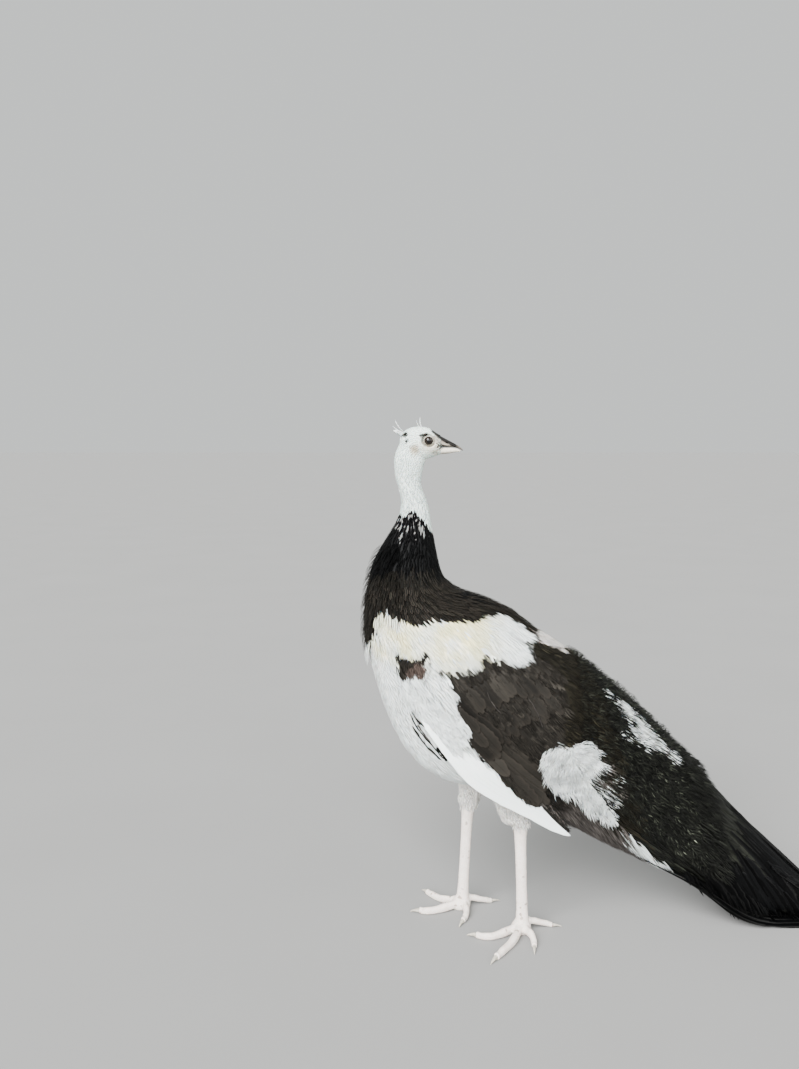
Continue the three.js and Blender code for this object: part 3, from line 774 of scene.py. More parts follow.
def scatter(chosen, spacing):
    """Points over the chosen triangles, none nearer to another than the spacing."""
    areas = triangle_area[chosen]
    count = int(areas.sum() / spacing ** 2 * TRIES)
    picks = chosen[draw.choice(len(chosen), count, p=areas / areas.sum())]
    a, b = np.sqrt(draw.random(count))[:, None], draw.random(count)[:, None]
    points = (1 - a) * corner_a[picks] + a * (1 - b) * corner_b[picks] + a * b * corner_c[picks]
    cells, kept = {}, []
    keys = np.floor(points / spacing).astype(int)
    near_cells = [(i, j, k) for i in (-1, 0, 1) for j in (-1, 0, 1) for k in (-1, 0, 1)]
    for n, (key, point) in enumerate(zip(keys.tolist(), points.tolist())):
        others = (other for i, j, k in near_cells
                  for other in cells.get((key[0] + i, key[1] + j, key[2] + k), ()))
        if all(sum((p - q) ** 2 for p, q in zip(point, o)) >= spacing ** 2 for o in others):
            cells.setdefault(tuple(key), []).append(point)
            kept.append(n)
    return points[kept]


# ---- feathers ---------------------------------------------------------------------------

# Half widths along a vane, as shares of its widest: place from root to tip, share.
PROFILES = {
    "round": ([0, 0.3, 0.62, 0.86, 0.97, 1], [0.25, 0.8, 1, 0.86, 0.5, 0.12]),
    "pointed": ([0, 0.25, 0.5, 0.75, 0.92, 1], [0.3, 0.85, 1, 0.72, 0.32, 0.05]),
    "quill": ([0, 0.1, 0.5, 0.8, 0.95, 1], [0.3, 0.7, 1, 0.95, 0.55, 0.08]),
    "covert": ([0, 0.2, 0.5, 0.72, 0.88, 0.96, 1], [0.15, 0.5, 0.95, 1, 0.74, 0.4, 0.06]),
    "blade": ([0, 0.1, 0.5, 0.8, 0.93, 1], [0.3, 0.8, 1, 0.8, 0.36, 0.03]),
}
FREE = 5.0  # a vane this far off the skin no longer follows it
FREE_FROM = 622  # and none does past this place
TRAIN_TURN = (600, 640)  # between these the lie turns to that of the train's end
TRAIN_END_FLOW = unit(np.array([1.0, 0.12, -0.16]))
FLOOR_REST = 0.25  # no vane lies lower
TAIL_END = 672.0  # no vane of the train reaches past it
MOST_TRIANGLES = 185000  # in one piece of the coat


def lay(roots, ahead, lengths, rings, lie, follow):
    """The middle line of each vane over the skin, with the skin's normals along it."""
    middles = np.empty((len(roots), rings, 3))
    ups = np.empty_like(middles)
    place, up, _ = near(roots, SKIN_TREE)
    step = (lengths / (rings - 1))[:, None]
    for r in range(rings):
        middles[:, r], ups[:, r] = place, up
        target = place + ahead * step
        found, normal, gap = near(target, SKIN_TREE)
        free = (gap > FREE) | (target[:, 0] > FREE_FROM)
        place = np.where(free[:, None], target, found)
        up = unit(np.where(free[:, None], up, 0.5 * up + 0.5 * normal))
        past = smooth(*TRAIN_TURN, place[:, 0])[:, None]
        pull = (flow(place, lie) * follow + ahead * (1 - follow)) * (1 - past)
        pull = pull + past * TRAIN_END_FLOW
        ahead = unit(pull - (pull * up).sum(1, keepdims=True) * up)
    return middles, ups


def vane_mesh(middles, ups, half, profile="round", fray=0.1, camber=0.08, ridge=0.2, roll=0.0):
    """Thin closed vanes along middle lines, three-sided: an edge, the ridge on top and the other
    edge. Returns points, triangles of one vane and places on it."""
    count, rings = middles.shape[:2]
    t = np.linspace(0, 1, rings)
    sides = unit(np.cross(ups, unit(np.gradient(middles, axis=1))))
    wide = np.broadcast_to(half, count)[:, None] * np.interp(t, *PROFILES[profile])
    jitter = 1 + fray * draw.uniform(-1, 1, (count, rings, 2))
    turn = np.broadcast_to(roll, count)[:, None, None] * wide[..., None] * ups
    drop = ups * (camber * wide)[..., None]
    thick = ups * (ridge * (0.3 + 0.7 * wide / wide.max(1, keepdims=True)))[..., None]
    shape = np.empty((count, rings, 3, 3))
    shape[:, :, 0] = middles - sides * (wide * jitter[..., 0])[..., None] - drop - turn
    shape[:, :, 1] = middles + thick
    shape[:, :, 2] = middles + sides * (wide * jitter[..., 1])[..., None] - drop + turn
    points = shape.reshape(-1, 3)
    points[:, 2] = np.maximum(points[:, 2], FLOOR_REST)
    ring = np.arange(rings - 1)[:, None] * 3 + np.arange(3)[None]
    after = np.arange(rings - 1)[:, None] * 3 + (np.arange(3)[None] + 1) % 3
    walls = np.stack([ring, ring + 3, after + 3, ring, after + 3, after], -1).reshape(-1, 3)
    last = 3 * (rings - 1)
    faces = np.vstack([walls, [[0, 1, 2]], [[last + 2, last + 1, last]]])
    local = np.empty((rings, 3, 2))
    local[:, :, 0] = [0, 0.5, 1]
    local[:, :, 1] = t[:, None]
    return points, faces, local.reshape(-1, 2)


def vanes(roots, heading, length, half, rise, rings=5, lie="body", follow=0.5, base=0.1, **shape):
    """Vanes that lie over the skin, rising from it towards their tips."""
    count = len(roots)
    length, half, rise = (np.broadcast_to(v, count).astype(float) for v in (length, half, rise))
    middles, ups = lay(roots, heading, length, rings, lie, follow)
    t = np.linspace(0, 1, rings)
    sunk = 0.35 * (1 - smooth(0, 0.1, t))
    base = np.broadcast_to(base, count)[:, None] * smooth(0, 0.22, t) - sunk
    lift = base + rise[:, None] * t ** 0.9
    return vane_mesh(middles + ups * lift[..., None], ups, half, **shape)


def unwrap(points):
    """Places on an unwrap of the body's own shape: along it and around it."""
    index = station_index(points)
    middle, ahead = SPINE_POINTS[index], SPINE_AHEAD[index]
    off = points[:, [0, 2]] - middle
    back = off[:, 0] * -ahead[:, 1] + off[:, 1] * ahead[:, 0]
    return np.column_stack([SPINE_LENGTH[index], np.arctan2(points[:, 1], back)])


PATCH = 0.003  # size of a vane's own place in the second map
MAP_EDGE = 0.002  # left free around them


def crease(piece):
    """Keeps the two edges of each vane sharp, so that a broad feather shades as a flat one."""
    mesh = piece.data
    ends = np.empty(2 * len(mesh.edges), np.int32)
    mesh.edges.foreach_get("vertices", ends)
    a, b = ends.reshape(-1, 2).T
    mesh.edges.foreach_set("use_edge_sharp", (np.abs(a - b) == 3) & (a % 3 != 1))


def add_coat(name, parts, roots, kind, colour, fringe, nodes=(), broad=False):
    """Makes the pieces of a tract, by class of plumage and none of them too large."""
    points, triangles, local = parts
    per = len(local)
    for number, label in enumerate(CLASSES):
        chosen = np.flatnonzero(kind == number)
        if len(chosen) < 3:
            continue
        order = chosen[np.argsort(roots[chosen, 0] - roots[chosen, 2])]
        share = math.ceil(len(triangles) * len(chosen) / MOST_TRIANGLES)
        for part, group in enumerate(np.array_split(order, share)):
            take = (group[:, None] * per + np.arange(per)).ravel()
            faces = (triangles[None] + np.arange(len(group))[:, None, None] * per).reshape(-1, 3)
            piece = make_object(f"{name}_{label}" + (f"_{part + 1}" if share > 1 else ""),
                                points[take], faces)
            if broad:
                crease(piece)
            shade = colour[group] * np.exp(VARIED[label] * draw.normal(size=(len(group), 1)))
            paint(piece, np.repeat(np.column_stack([shade, fringe[group]]), per, 0))
            places = np.tile(local, (len(group), 1))
            map_points(piece, "Vane", places)
            spots = unwrap(roots[group])
            low, span = spots.min(0), np.maximum(np.ptp(spots, 0), 1e-6)
            spots = MAP_EDGE + (spots - low) / span * (1 - 2 * MAP_EDGE - PATCH)
            map_points(piece, "OFBake", np.repeat(spots, per, 0) + places * PATCH)
            keep(piece, f"plumage_{label}", PLUMAGE[label], *nodes)


def add_alike(name, parts, roots, kind, colour, fringe=0.0, varied=0.0, **more):
    """A tract of one class. Where varied is given, the darkness of its feathers differs."""
    count = len(roots)
    shades = np.exp(varied * draw.normal(size=(count, 1))) if varied else 1.0
    add_coat(name, parts, roots, np.full(count, kind), np.broadcast_to(colour, (count, 3)) * shades,
             np.full(count, fringe), **more)


def tangent(directions, normals):
    """Directions laid flat on the surface with these normals."""
    return unit(directions - (directions * normals).sum(1, keepdims=True) * normals)


def tract(name, where, spacing, length, half, rise, lie="body", yaw=0.12, locks=1, fan=0.0,
          sample=0.5, shade=None, lump=0.0, blotch_and_shade=0.0, broad=False, base=0.1, **shape):
    """Vanes over a region of the skin. Each may be split into locks that fan from its root;
    length, half width and rise may follow the station. Its marking is that of the place
    under it, this share of its length from the root. Where lump is given the coat swells
    and sinks by so much. A given share of blotching and shade makes its darkness vary in
    soft patches: a random mottle on dark feathers, painted shade on white ones, which it
    only darkens."""
    roots = scatter(np.flatnonzero(where), spacing)
    _, normals, _ = near(roots, SKIN_TREE)
    count = len(roots)
    heading = tangent(flow(roots, lie), normals)
    heading = turned(heading, normals, yaw * draw.normal(size=count))
    at = SPINE_LENGTH[station_index(roots)]
    length, half, rise = (np.broadcast_to(v(at) if callable(v) else v, count)
                          for v in (length, half, rise))
    length = length * (1 + 0.14 * draw.uniform(-1, 1, count))
    length = np.minimum(length, np.maximum(TAIL_END - roots[:, 0], 10))
    kind, colour, fringe = marking(roots + heading * (length * sample)[:, None])
    colour = face_marking(roots, colour)
    if shade is not None:
        colour[:] = shade
        kind[:] = WHITES if min(shade) > 0.5 else kind
    swell = ripple(roots, 15, 2.0)
    # Soft patches of darkness: a random mottle on dark feathers; on white ones only darker, which
    # is painted shade.
    depth = 2 * ripple(roots, 9, 4.0)
    mottle_and_shade = np.where(kind > WHITES, depth, np.minimum(depth - 0.2, 0))
    colour = colour * np.exp(blotch_and_shade * mottle_and_shade)[:, None]
    base = base + lump * np.maximum(swell + 0.3, 0)
    each = np.repeat(np.arange(count), locks)
    out = np.tile(np.linspace(-1, 1, locks) if locks > 1 else [0.0], count)
    out = out + (draw.uniform(-0.2, 0.2, len(out)) if locks > 1 else 0)
    heading = turned(heading[each], normals[each], out * fan)
    sides = np.cross(normals[each], heading)
    apart = out * half[each] * 0.5 * locks * (fan > 0)
    starts = roots[each] + sides * apart[:, None]
    parts = vanes(starts, heading, length[each] * (1 - 0.22 * out ** 2), half[each], rise[each],
                  lie=lie, base=base[each], **shape)
    add_coat(name, parts, roots[each], kind[each], colour[each], fringe[each], broad=broad)


def named(*starts):
    """Which triangles of the skin belong to the flesh with these names."""
    return np.array([o.startswith(starts) for o in triangle_owner])


def ramp_of(*rows):
    """A value that follows the station along the spine."""
    at, values = zip(*rows)
    return lambda where: np.interp(where, at, values)


SHOULDER = (-20, 440)  # x and z of the place from which a folded wing is measured
BACK, DOWN = 0.643, 0.766  # its feathers run this far back and down for each millimetre


def wing_place(points):
    """Distance along a folded wing's feathers, from the shoulder, and across them."""
    x, z = points[:, 0] - SHOULDER[0], points[:, 2] - SHOULDER[1]
    return np.column_stack([BACK * x - DOWN * z, DOWN * x + BACK * z])


def wing_spot(at, across):
    """The place x, z at these distances along and across a folded wing's feathers."""
    x, z = BACK * at + DOWN * across, BACK * across - DOWN * at
    return SHOULDER[0] + x, SHOULDER[1] + z


def side_point(x, z, side):
    """The skin's outermost point at this place, on the bird's left (-1) or right (1)."""
    start = Vector((x, side * 220.0, z))
    place = SKIN_TREE.ray_cast(start, Vector((0, -side, 0)))[0]
    return np.array(place if place is not None else (x, side * 60.0, z))


middle_x, middle_z = triangle_middles[:, 0], triangle_middles[:, 2]
wing_along = wing_place(triangle_middles)[:, 0]
body_flow = flow(triangle_middles, "body")
kind_here, kind_ahead, kind_beyond = (
    marking(triangle_middles + step * body_flow, 0.0)[0] for step in (0, 10, 22))
pale = kind_ahead == WHITES
pale_edge = pale & (kind_beyond != WHITES)
fluffy = inside(FLUFF, *(triangle_middles + 3 * body_flow)[:, [0, 2]].T)
bare_face = (np.hypot((middle_x - 41) / 1.1, middle_z - 680) < 9.5) | (middle_x > 50)
on_head = named("head", "neck_upper") & (middle_z > 648)
on_wing = named("wing_", "primaries_")
on_trunk = named("trunk") & (middle_x < 330)
rear = named("wing_", "trunk", "train") & (wing_along >= 225) & (middle_x > 175)
hanging = inside(GREY_FLANK, middle_x, middle_z) & ~fluffy
upper_mantle = (on_trunk & (middle_x < 150)) | (on_wing & (middle_z > 420) & (middle_x < 160))
spot = on_wing & (middle_x < 45) & (middle_z < 425)
dark_wing = on_wing & ~pale & ~upper_mantle & ~spot
smooth_end = middle_x + 0.25 * middle_z > 452  # from here on the train is of long black feathers
ragged_end = np.abs(middle_x + 0.25 * middle_z - 458) < 14
speckled = named("train", "wing_", "trunk") & (middle_x > 236) & (middle_x < 520)
speckled &= (kind_here > BLACKS) & ~smooth_end & ~hanging
SLEEK = dict(profile="pointed", camber=0.0, ridge=0.12)
FLAT = dict(SLEEK, base=0.02)
PALE = dict(FLAT, yaw=0.08, locks=2, fan=0.12)
FACIAL = dict(FLAT, rings=3, yaw=0.3, lie="bill")
LOOSE = dict(SLEEK, fray=0.4)
DOWNY = dict(LOOSE, lie="fluff", sample=0.0, shade=WHITE, base=2.6, lump=9.0)

tract("down_head", on_head & ~bare_face, 1.8, ramp_of((0, 2.8), (60, 4.4)),
      ramp_of((0, 0.6), (60, 0.9)), 0.25, rings=3, **FLAT)
tract("down_face", named("head") & (middle_x > 49) & (middle_z > 676), 1.1, 3.4, 0.3, 0.3, **FACIAL)
tract("down_chin", named("head") & (middle_x > 47) & (middle_z < 671), 1.2, 3.6, 0.3, 0.3, **FACIAL)
tract("coat_neck", named("neck_upper", "neck_middle") & (middle_z <= 650), 2.4,
      ramp_of((60, 6), (190, 11)), ramp_of((60, 0.9), (190, 1.4)), ramp_of((60, 0.4), (190, 0.9)),
      rings=4, **FLAT)
tract("coat_collar", named("neck_lower"), 3.2, ramp_of((120, 11), (240, 17)),
      ramp_of((120, 1.2), (240, 1.6)), ramp_of((120, 0.8), (240, 1.5)), rings=4, yaw=0.08, **SLEEK)
tract("coat_breast", on_trunk & pale, 5.0, ramp_of((220, 17), (400, 23)), 1.5, 1.3, **PALE)
tract("coat_mantle", (upper_mantle | spot) & ~pale, 5.2, ramp_of((220, 17), (400, 24)),
      ramp_of((220, 1.3), (400, 1.6)), 2.0, locks=3, fan=0.12, yaw=0.1, **SLEEK)
tract("coat_mantle_scales", upper_mantle & ~pale & (middle_z < 545), 5.6, 15, 1.7, 2.6, rings=6,
      yaw=0.25, fray=0.3, camber=0.05, sample=0.3, base=0.9, blotch_and_shade=0.6, broad=True)
tract("coat_spot", inside(SHOULDER_SPOT, middle_x, middle_z) & on_wing, 3.2, 9, 0.8, 2.0,
      yaw=0.2, locks=3, fan=0.25, sample=0.3, base=2.4, **SLEEK)
tract("coat_back", on_trunk & ~pale & (middle_x >= 140), 6.4, 20, 1.1, 3.0, locks=5, fan=0.45,
      yaw=0.4, lump=2.0, blotch_and_shade=0.5, **LOOSE)
tract("coat_shoulder", on_wing & pale & (wing_along < 250), 5.0, 20, 1.5, 1.3, lie="wing", **PALE)
tract("coat_edge", (on_wing | on_trunk) & pale_edge & ~fluffy & (middle_z > 200), 4.2, 20, 0.8,
      2.6, rings=6, locks=5, fan=0.16, sample=0.35, **SLEEK)
tract("coat_wing_small", dark_wing & (wing_along < 190), 7.0, 24, 3.6, 2.2, lie="wing", rings=7,
      yaw=0.3, fray=0.25, camber=0.04, base=1.2, lump=1.5, blotch_and_shade=0.25, broad=True)
tract("coat_wing_down", dark_wing & (wing_along < 250), 6.0, 17, 0.6, 2.2, lie="wing", yaw=0.35,
      locks=4, fan=0.3, base=2.2, lump=1.5, blotch_and_shade=0.3, **LOOSE)
tract("coat_rump", rear & ~fluffy & ~hanging & (middle_x < 430), 6.4, ramp_of((500, 20), (700, 27)),
      0.9, ramp_of((500, 3.0), (700, 4.5)), yaw=0.55, locks=6, fan=0.6, lump=3.5, blotch_and_shade=0.9,
      **LOOSE)
# The down darkens in soft patches: painted shade between its clumps.
tract("coat_fluff", fluffy, 2.9, 9, 0.5, 4.0, yaw=0.5, locks=6, fan=0.8, blotch_and_shade=0.65, **DOWNY)
tract("coat_fluff_tips", fluffy, 4.4, 14, 0.26, 6.5, yaw=0.8, locks=5, fan=1.0, blotch_and_shade=0.4, **DOWNY)
tract("coat_flank", hanging & named("wing_", "trunk", "train", "undertail"), 6.0, 40, 0.9, 6.0,
      lie="hang", rings=7, yaw=0.3, locks=6, fan=0.4, sample=0.0, lump=3.0, blotch_and_shade=0.3, **LOOSE)
tract("coat_train", named("train") & (middle_x < 592), 9.5, ramp_of((600, 40), (900, 80)),
      ramp_of((600, 2.2), (800, 4.5)), 2.6, rings=9, fray=0.25, profile="pointed", yaw=0.2,
      blotch_and_shade=0.4, broad=True)
tract("coat_train_barbs", named("train") & (middle_x > 330) & ~smooth_end, 7.0, 24, 0.8, 4.5,
      yaw=0.7, locks=5, fan=0.7, lump=6.0, blotch_and_shade=1.0, **LOOSE)
tract("coat_train_end", named("train") & ragged_end & (middle_x > 380), 6.0, 20, 0.9, 5.0, rings=6,
      yaw=0.7, locks=5, fan=0.6, base=5.0, lump=5.0, blotch_and_shade=0.8, sample=0.0, **LOOSE)
for number, hue in ((1, (0.0025, 0.0026, 0.0021)), (2, (0.022, 0.024, 0.018))):
    tract(f"coat_specks_{number}", speckled, 5.6, 8, 0.45, 4.5, rings=4, yaw=1.3, locks=3, fan=1.0,
          shade=hue, base=3.0, lump=5.0, blotch_and_shade=0.6, **LOOSE)
tract("coat_under", named("undertail") & ~hanging, 8.0, 40, 3.0, 3.0, rings=7, fray=0.35, locks=2,
      fan=0.15, profile="pointed")
nape = named("neck_lower", "trunk") & (middle_x < 0) & (kind_here > WHITES) & (middle_z < 545)
tract("coat_nape", nape, 8.0, 20, 0.9, 6.5, rings=6, yaw=0.3, locks=4, fan=0.4, base=1.5, **LOOSE)
# Thigh feathers in the brightened white, painted light against the shade under the body.
tract("coat_thigh", named("thigh_"), 3.2, 13, 0.7, 2.6, lie="thigh", yaw=0.35, locks=4, fan=0.5,
      lump=2.5, shade=THIGH_LIT_WHITE, **LOOSE)

# ---- long feathers of wing and tail -------------------------------------------------------

# The white blade of a folded wing, from its root to its tip: x and z of its lower edge and
# of its upper one, and how far it lies from the middle of the bird.
PRIMARY_LOW = [(4, 352), (18, 330), (41, 298), (84, 242), (123, 214), (169, 188), (208, 165),
               (230, 154)]
PRIMARY_HIGH = [(40, 376), (58, 358), (86, 326), (130, 282), (164, 250), (196, 220), (221, 186),
                (232, 161)]
PRIMARY_OUT = [64, 79, 89, 92, 88, 80, 72, 67]
PRIMARIES = 8


def along_rows(rows, places):
    """Smooth values between rows of numbers, at places measured in rows."""
    rows = np.asarray(rows, float)
    i = np.clip(np.floor(places).astype(int), 0, len(rows) - 2)
    f = (places - i)[:, None]
    a, b, c, d = (rows[np.clip(i + k, 0, len(rows) - 1)] for k in (-1, 0, 1, 2))
    return b + 0.5 * f * (c - a + f * (2 * a - 5 * b + 4 * c - d + f * (3 * (b - c) + d - a)))


def outward(lines):
    """Directions away from the middle of the bird, at each point of lines on its sides."""
    ups = np.zeros_like(lines)
    ups[..., 1] = np.sign(lines[..., 1])
    return ups


def add_primaries():
    """The long white feathers of each wing, nearly flush, the upper ones the shorter."""
    rings = 22
    middles = []
    for side in (-1, 1):
        for k in range(PRIMARIES):
            share = k / (PRIMARIES - 1)
            places = np.linspace(1.2 + 0.3 * k, 7 - 0.42 * k, rings)
            low, high = along_rows(PRIMARY_LOW, places), along_rows(PRIMARY_HIGH, places)
            line = low + (high - low) * (0.12 + 0.60 * share)
            out = np.interp(places, range(len(PRIMARY_OUT)), PRIMARY_OUT) + 0.25 * (PRIMARIES - k)
            out = out - 5 * (1 - smooth(0, 0.3, (places - places[0]) / 5))
            middles.append(np.column_stack([line[:, 0], side * out, line[:, 1]]))
    middles = np.array(middles)
    parts = vane_mesh(middles, outward(middles), 7.5, profile="blade", fray=0.05, camber=0.04,
                      ridge=0.3, roll=0.03 * np.sign(middles[:, 0, 1]))
    add_alike("primary_feathers", parts, middles[:, 4], WHITES, WHITE, broad=True)


# Where the dark of the wing begins, along its feathers: place across, place along.
DARK_FROM = [(-5, 172), (5, 150), (17, 104), (48, 114), (70, 118), (90, 136), (108, 157)]
# Rows of feathers, the lowest first: how many, how far from the start of the dark its roots
# lie at least, the station of its roots, its length, half width and height over the skin.
WING_ROWS = [
    dict(count=16, after=20, root=188, length=138, half=8.0, base=0.8),
    dict(count=15, after=12, root=150, length=70, half=7.0, base=2.0),
    dict(count=17, after=6, root=118, length=46, half=5.5, base=2.8),
]
WING_ACROSS = 106.0  # from the lowest feather to the uppermost
OVER_BLADE = 4.4  # how far the lowest ones lie outside, over the white primaries


def add_wing_rows():
    """Rows of dark feathers over the wing: long secondaries and two rows of coverts."""
    roots, heads, lengths, halves, bases = [], [], [], [], []
    draw = np.random.default_rng(23)  # its own, so that the rows stay as they are
    for side in (-1, 1):
        for row in WING_ROWS:
            for k in range(row["count"]):
                across = -2 + WING_ACROSS * (k + draw.uniform(-0.2, 0.2)) / (row["count"] - 1)
                edge = np.interp(across, *np.array(DARK_FROM).T) + row["after"]
                start = max(edge, row["root"] + draw.uniform(-8, 8))
                end = start + row["length"] * draw.uniform(0.88, 1.1)
                end = min(end, 326 - 0.10 * across if across < 52 else 262 + draw.uniform(-8, 8))
                roots.append(side_point(*wing_spot(start, across), side))
                heads.append(WING_FLOW + np.array([DOWN, 0, BACK]) * draw.uniform(-0.09, 0.09))
                lengths.append(max(end - start, 20))
                halves.append(row["half"] * draw.uniform(0.85, 1.2) * (1.25 if across < 20 else 1))
                bases.append(row["base"] + draw.uniform(0, 1.2)
                             + OVER_BLADE * (1 - smooth(8, 34, across)) * (start > 130))
    roots = np.array(roots)
    parts = vanes(roots, unit(np.array(heads)), np.array(lengths), np.array(halves), 1.6, rings=26,
                  lie="wing", follow=0.2, base=np.array(bases), profile="covert", fray=0.2,
                  camber=0.05, ridge=0.3)
    low = wing_place(roots)[:, 0] > 175
    shades = np.exp(0.09 * draw.normal(size=(len(roots), 1))) * np.where(low, 1.1, 0.85)[:, None]
    add_alike("wing_rows", parts, roots, BROWNS, WING_DARK * shades, 0.16, broad=True)


def add_strands(name, roots, heads, lengths, halves, rise, kind, colour, fringe=0.0, **shape):
    """Loose strands from these roots, of any length and half width between two."""
    roots, count = np.array(roots), len(roots)
    parts = vanes(roots, unit(np.array(heads)), draw.uniform(*lengths, count),
                  draw.uniform(*halves, count), rise, **shape, **LOOSE)
    add_alike(name, parts, roots, kind, colour, fringe)


def add_fringe(name, count, alongs, acrosses, droop, lengths, base, kind, colour):
    """Soft strands over a strip of each wing, drooping from the lie of its feathers."""
    roots, heads = [], []
    for side in (-1, 1):
        for _ in range(count):
            place = wing_spot(draw.uniform(*alongs), draw.uniform(*acrosses))
            roots.append(side_point(*place, side))
            heads.append(WING_FLOW + np.array([-0.1, 0, -0.42]) * draw.uniform(0, droop))
    add_strands(name, roots, heads, lengths, (0.5, 1.1), 1.5, kind, colour,
                0.0 if kind == WHITES else 0.3, rings=6, lie="wing", follow=0.1, base=base)


FLUFF_EDGE = [(192, 250), (203, 236), (220, 227), (240, 217), (250, 206), (256, 194)]
WISPS = 130  # on each side


def add_fluff_wisps():
    """White strands that hang from the lower edge of each tuft of down."""
    roots, heads = [], []
    for side in (-1, 1):
        for place in np.linspace(0, len(FLUFF_EDGE) - 1, WISPS):
            x, z = along_rows(FLUFF_EDGE, np.array([place]))[0] + draw.uniform(-3, 3, 2) + [0, 3]
            roots.append(side_point(x, z, side))
            heads.append([draw.uniform(0.0, 0.75), 0, -1.0])
    add_strands("fluff_wisps", roots, heads, (14, 36), (0.35, 0.8), 2.0, WHITES, WHITE, rings=8,
                lie="hang", follow=0.15, base=8.5)


TAIL_PATH = [(330, 106), (430, 58), (500, 17), (560, 3.4), (640, 1.6), (674, 0.9)]
TAIL_FEATHERS = 10  # in each of its two layers


def swing(x):
    """How far the train lies to the bird's right."""
    return 22 * np.maximum(0, (x - 300) / 360) ** 1.5


TIP_RISE = 14  # how much farther off the skin they may lie at the tip of the train


def clear_of_skin(lines, base, farthest):
    """The lines kept over the skin, and no farther from it than this at each point along
    them, with directions away from it."""
    flat = lines.reshape(-1, 3).copy()
    found, normal, _ = near(flat, SKIN_TREE)
    depth = ((flat - found) * normal).sum(1)
    limit = np.tile(farthest, len(lines)) + TIP_RISE * smooth(580, 660, flat[:, 0])
    flat += normal * (np.clip(depth, base, limit) - depth)[:, None]
    flat[:, 2] = np.maximum(flat[:, 2], 1.0)
    return flat.reshape(lines.shape), normal.reshape(lines.shape)


def arcs(starts, middles, ends, rings):
    """Curves from starts to ends, drawn towards middles."""
    t = np.linspace(0, 1, rings)[None, :, None]
    return ((1 - t) ** 2 * starts[:, None] + 2 * t * (1 - t) * middles[:, None]
            + t ** 2 * ends[:, None])


def add_tail():
    """The stiff feathers of the tail, fanned low under the train, each with its own tip."""
    rings = 26
    middles = []
    for layer in range(2):
        for k in range(TAIL_FEATHERS):
            outside = (k - (TAIL_FEATHERS - 1) / 2) / (TAIL_FEATHERS - 1) * 2
            places = np.linspace(0.1 + 0.1 * layer, 5, rings)
            line = along_rows(TAIL_PATH, places)
            share = places / 5
            x = line[:, 0] - share * (46 * outside ** 2 + 24 * layer)
            y = swing(x) + outside * (22 + 20 * share)
            z = line[:, 1] + 1.8 * layer + 1.2 * (1 - abs(outside))
            middles.append(np.column_stack([x, y, z]))
    middles = np.array(middles)
    ups = np.broadcast_to(unit(np.array([0.3, 0.0, 1.0])), middles.shape)
    parts = vane_mesh(middles, ups, 8.0, profile="pointed", fray=0.12, camber=0.1, ridge=0.6)
    add_alike("tail_feathers", parts, middles[:, 8], BLACKS, np.array(BLACK) * 1.3, 0.7,
              nodes=("tail",), broad=True)


# The plumes start along a line over the train and end along its lower edge and its tip.
PLUME_ROOTS = [(484, 152), (482, 148), (474, 138), (461, 124), (444, 108), (422, 90)]
PLUME_TIPS = [(634, 6), (620, 5), (586, 4), (546, 3), (508, 3), (462, 18)]
PLUMES = 34  # in each of two layers on each side


def add_plumes():
    """Long pointed feathers over the end of the train, fanning down from where its rough
    part ends; the lowest stand out below its lower edge."""
    rings = 18
    starts, tips, halves = [], [], []
    for side in (-1, 1):
        for layer in (0, 1):
            for k in range(PLUMES):
                place = 5 * np.clip((k + draw.uniform(-0.5, 0.5)) / (PLUMES - 1), 0, 1)
                root = along_rows(PLUME_ROOTS, np.array([place]))[0]
                tip = along_rows(PLUME_TIPS, np.array([place]))[0]
                root = root + (tip - root) * draw.uniform(-0.16, 0.14)
                tip = tip + draw.uniform(-1, 1, 2) * [12, 2]
                if layer:
                    root = root + (tip - root) * 0.3
                    tip = tip + [draw.uniform(-8, 12), 0]
                start = side_point(*root, side)
                x = min(tip[0], TAIL_END - 4)
                out = np.interp(place, [0, 2, 5], [5, 16, 30])
                starts.append(start)
                tips.append((x, swing(x) + side * out, max(tip[1], 1.0)))
                halves.append(draw.uniform(3.0, 6.2))
    starts, tips = np.array(starts), np.array(tips)
    bends = starts + (tips - starts) * 0.5 + np.array([0, 0, 6.0])
    bends[:, 1] += np.sign(starts[:, 1] - swing(starts[:, 0])) * 5
    highest = 4.5 + 9.0 * np.linspace(0, 1, rings) ** 2
    middles, ups = clear_of_skin(arcs(starts, bends, tips, rings), 3.2, highest)
    parts = vane_mesh(middles, ups, np.array(halves), profile="pointed", fray=0.2, ridge=0.4,
                      camber=0.12)
    add_alike("train_plumes", parts, middles[:, 5], BLACKS, BLACK, 0.25, varied=0.5, broad=True)


TRAIN_EDGE = [(396, 84), (412, 72), (430, 56), (446, 42), (464, 31), (486, 22), (512, 19),
              (544, 15), (580, 12), (616, 9)]
EDGE_PLUMES = 64  # on each side


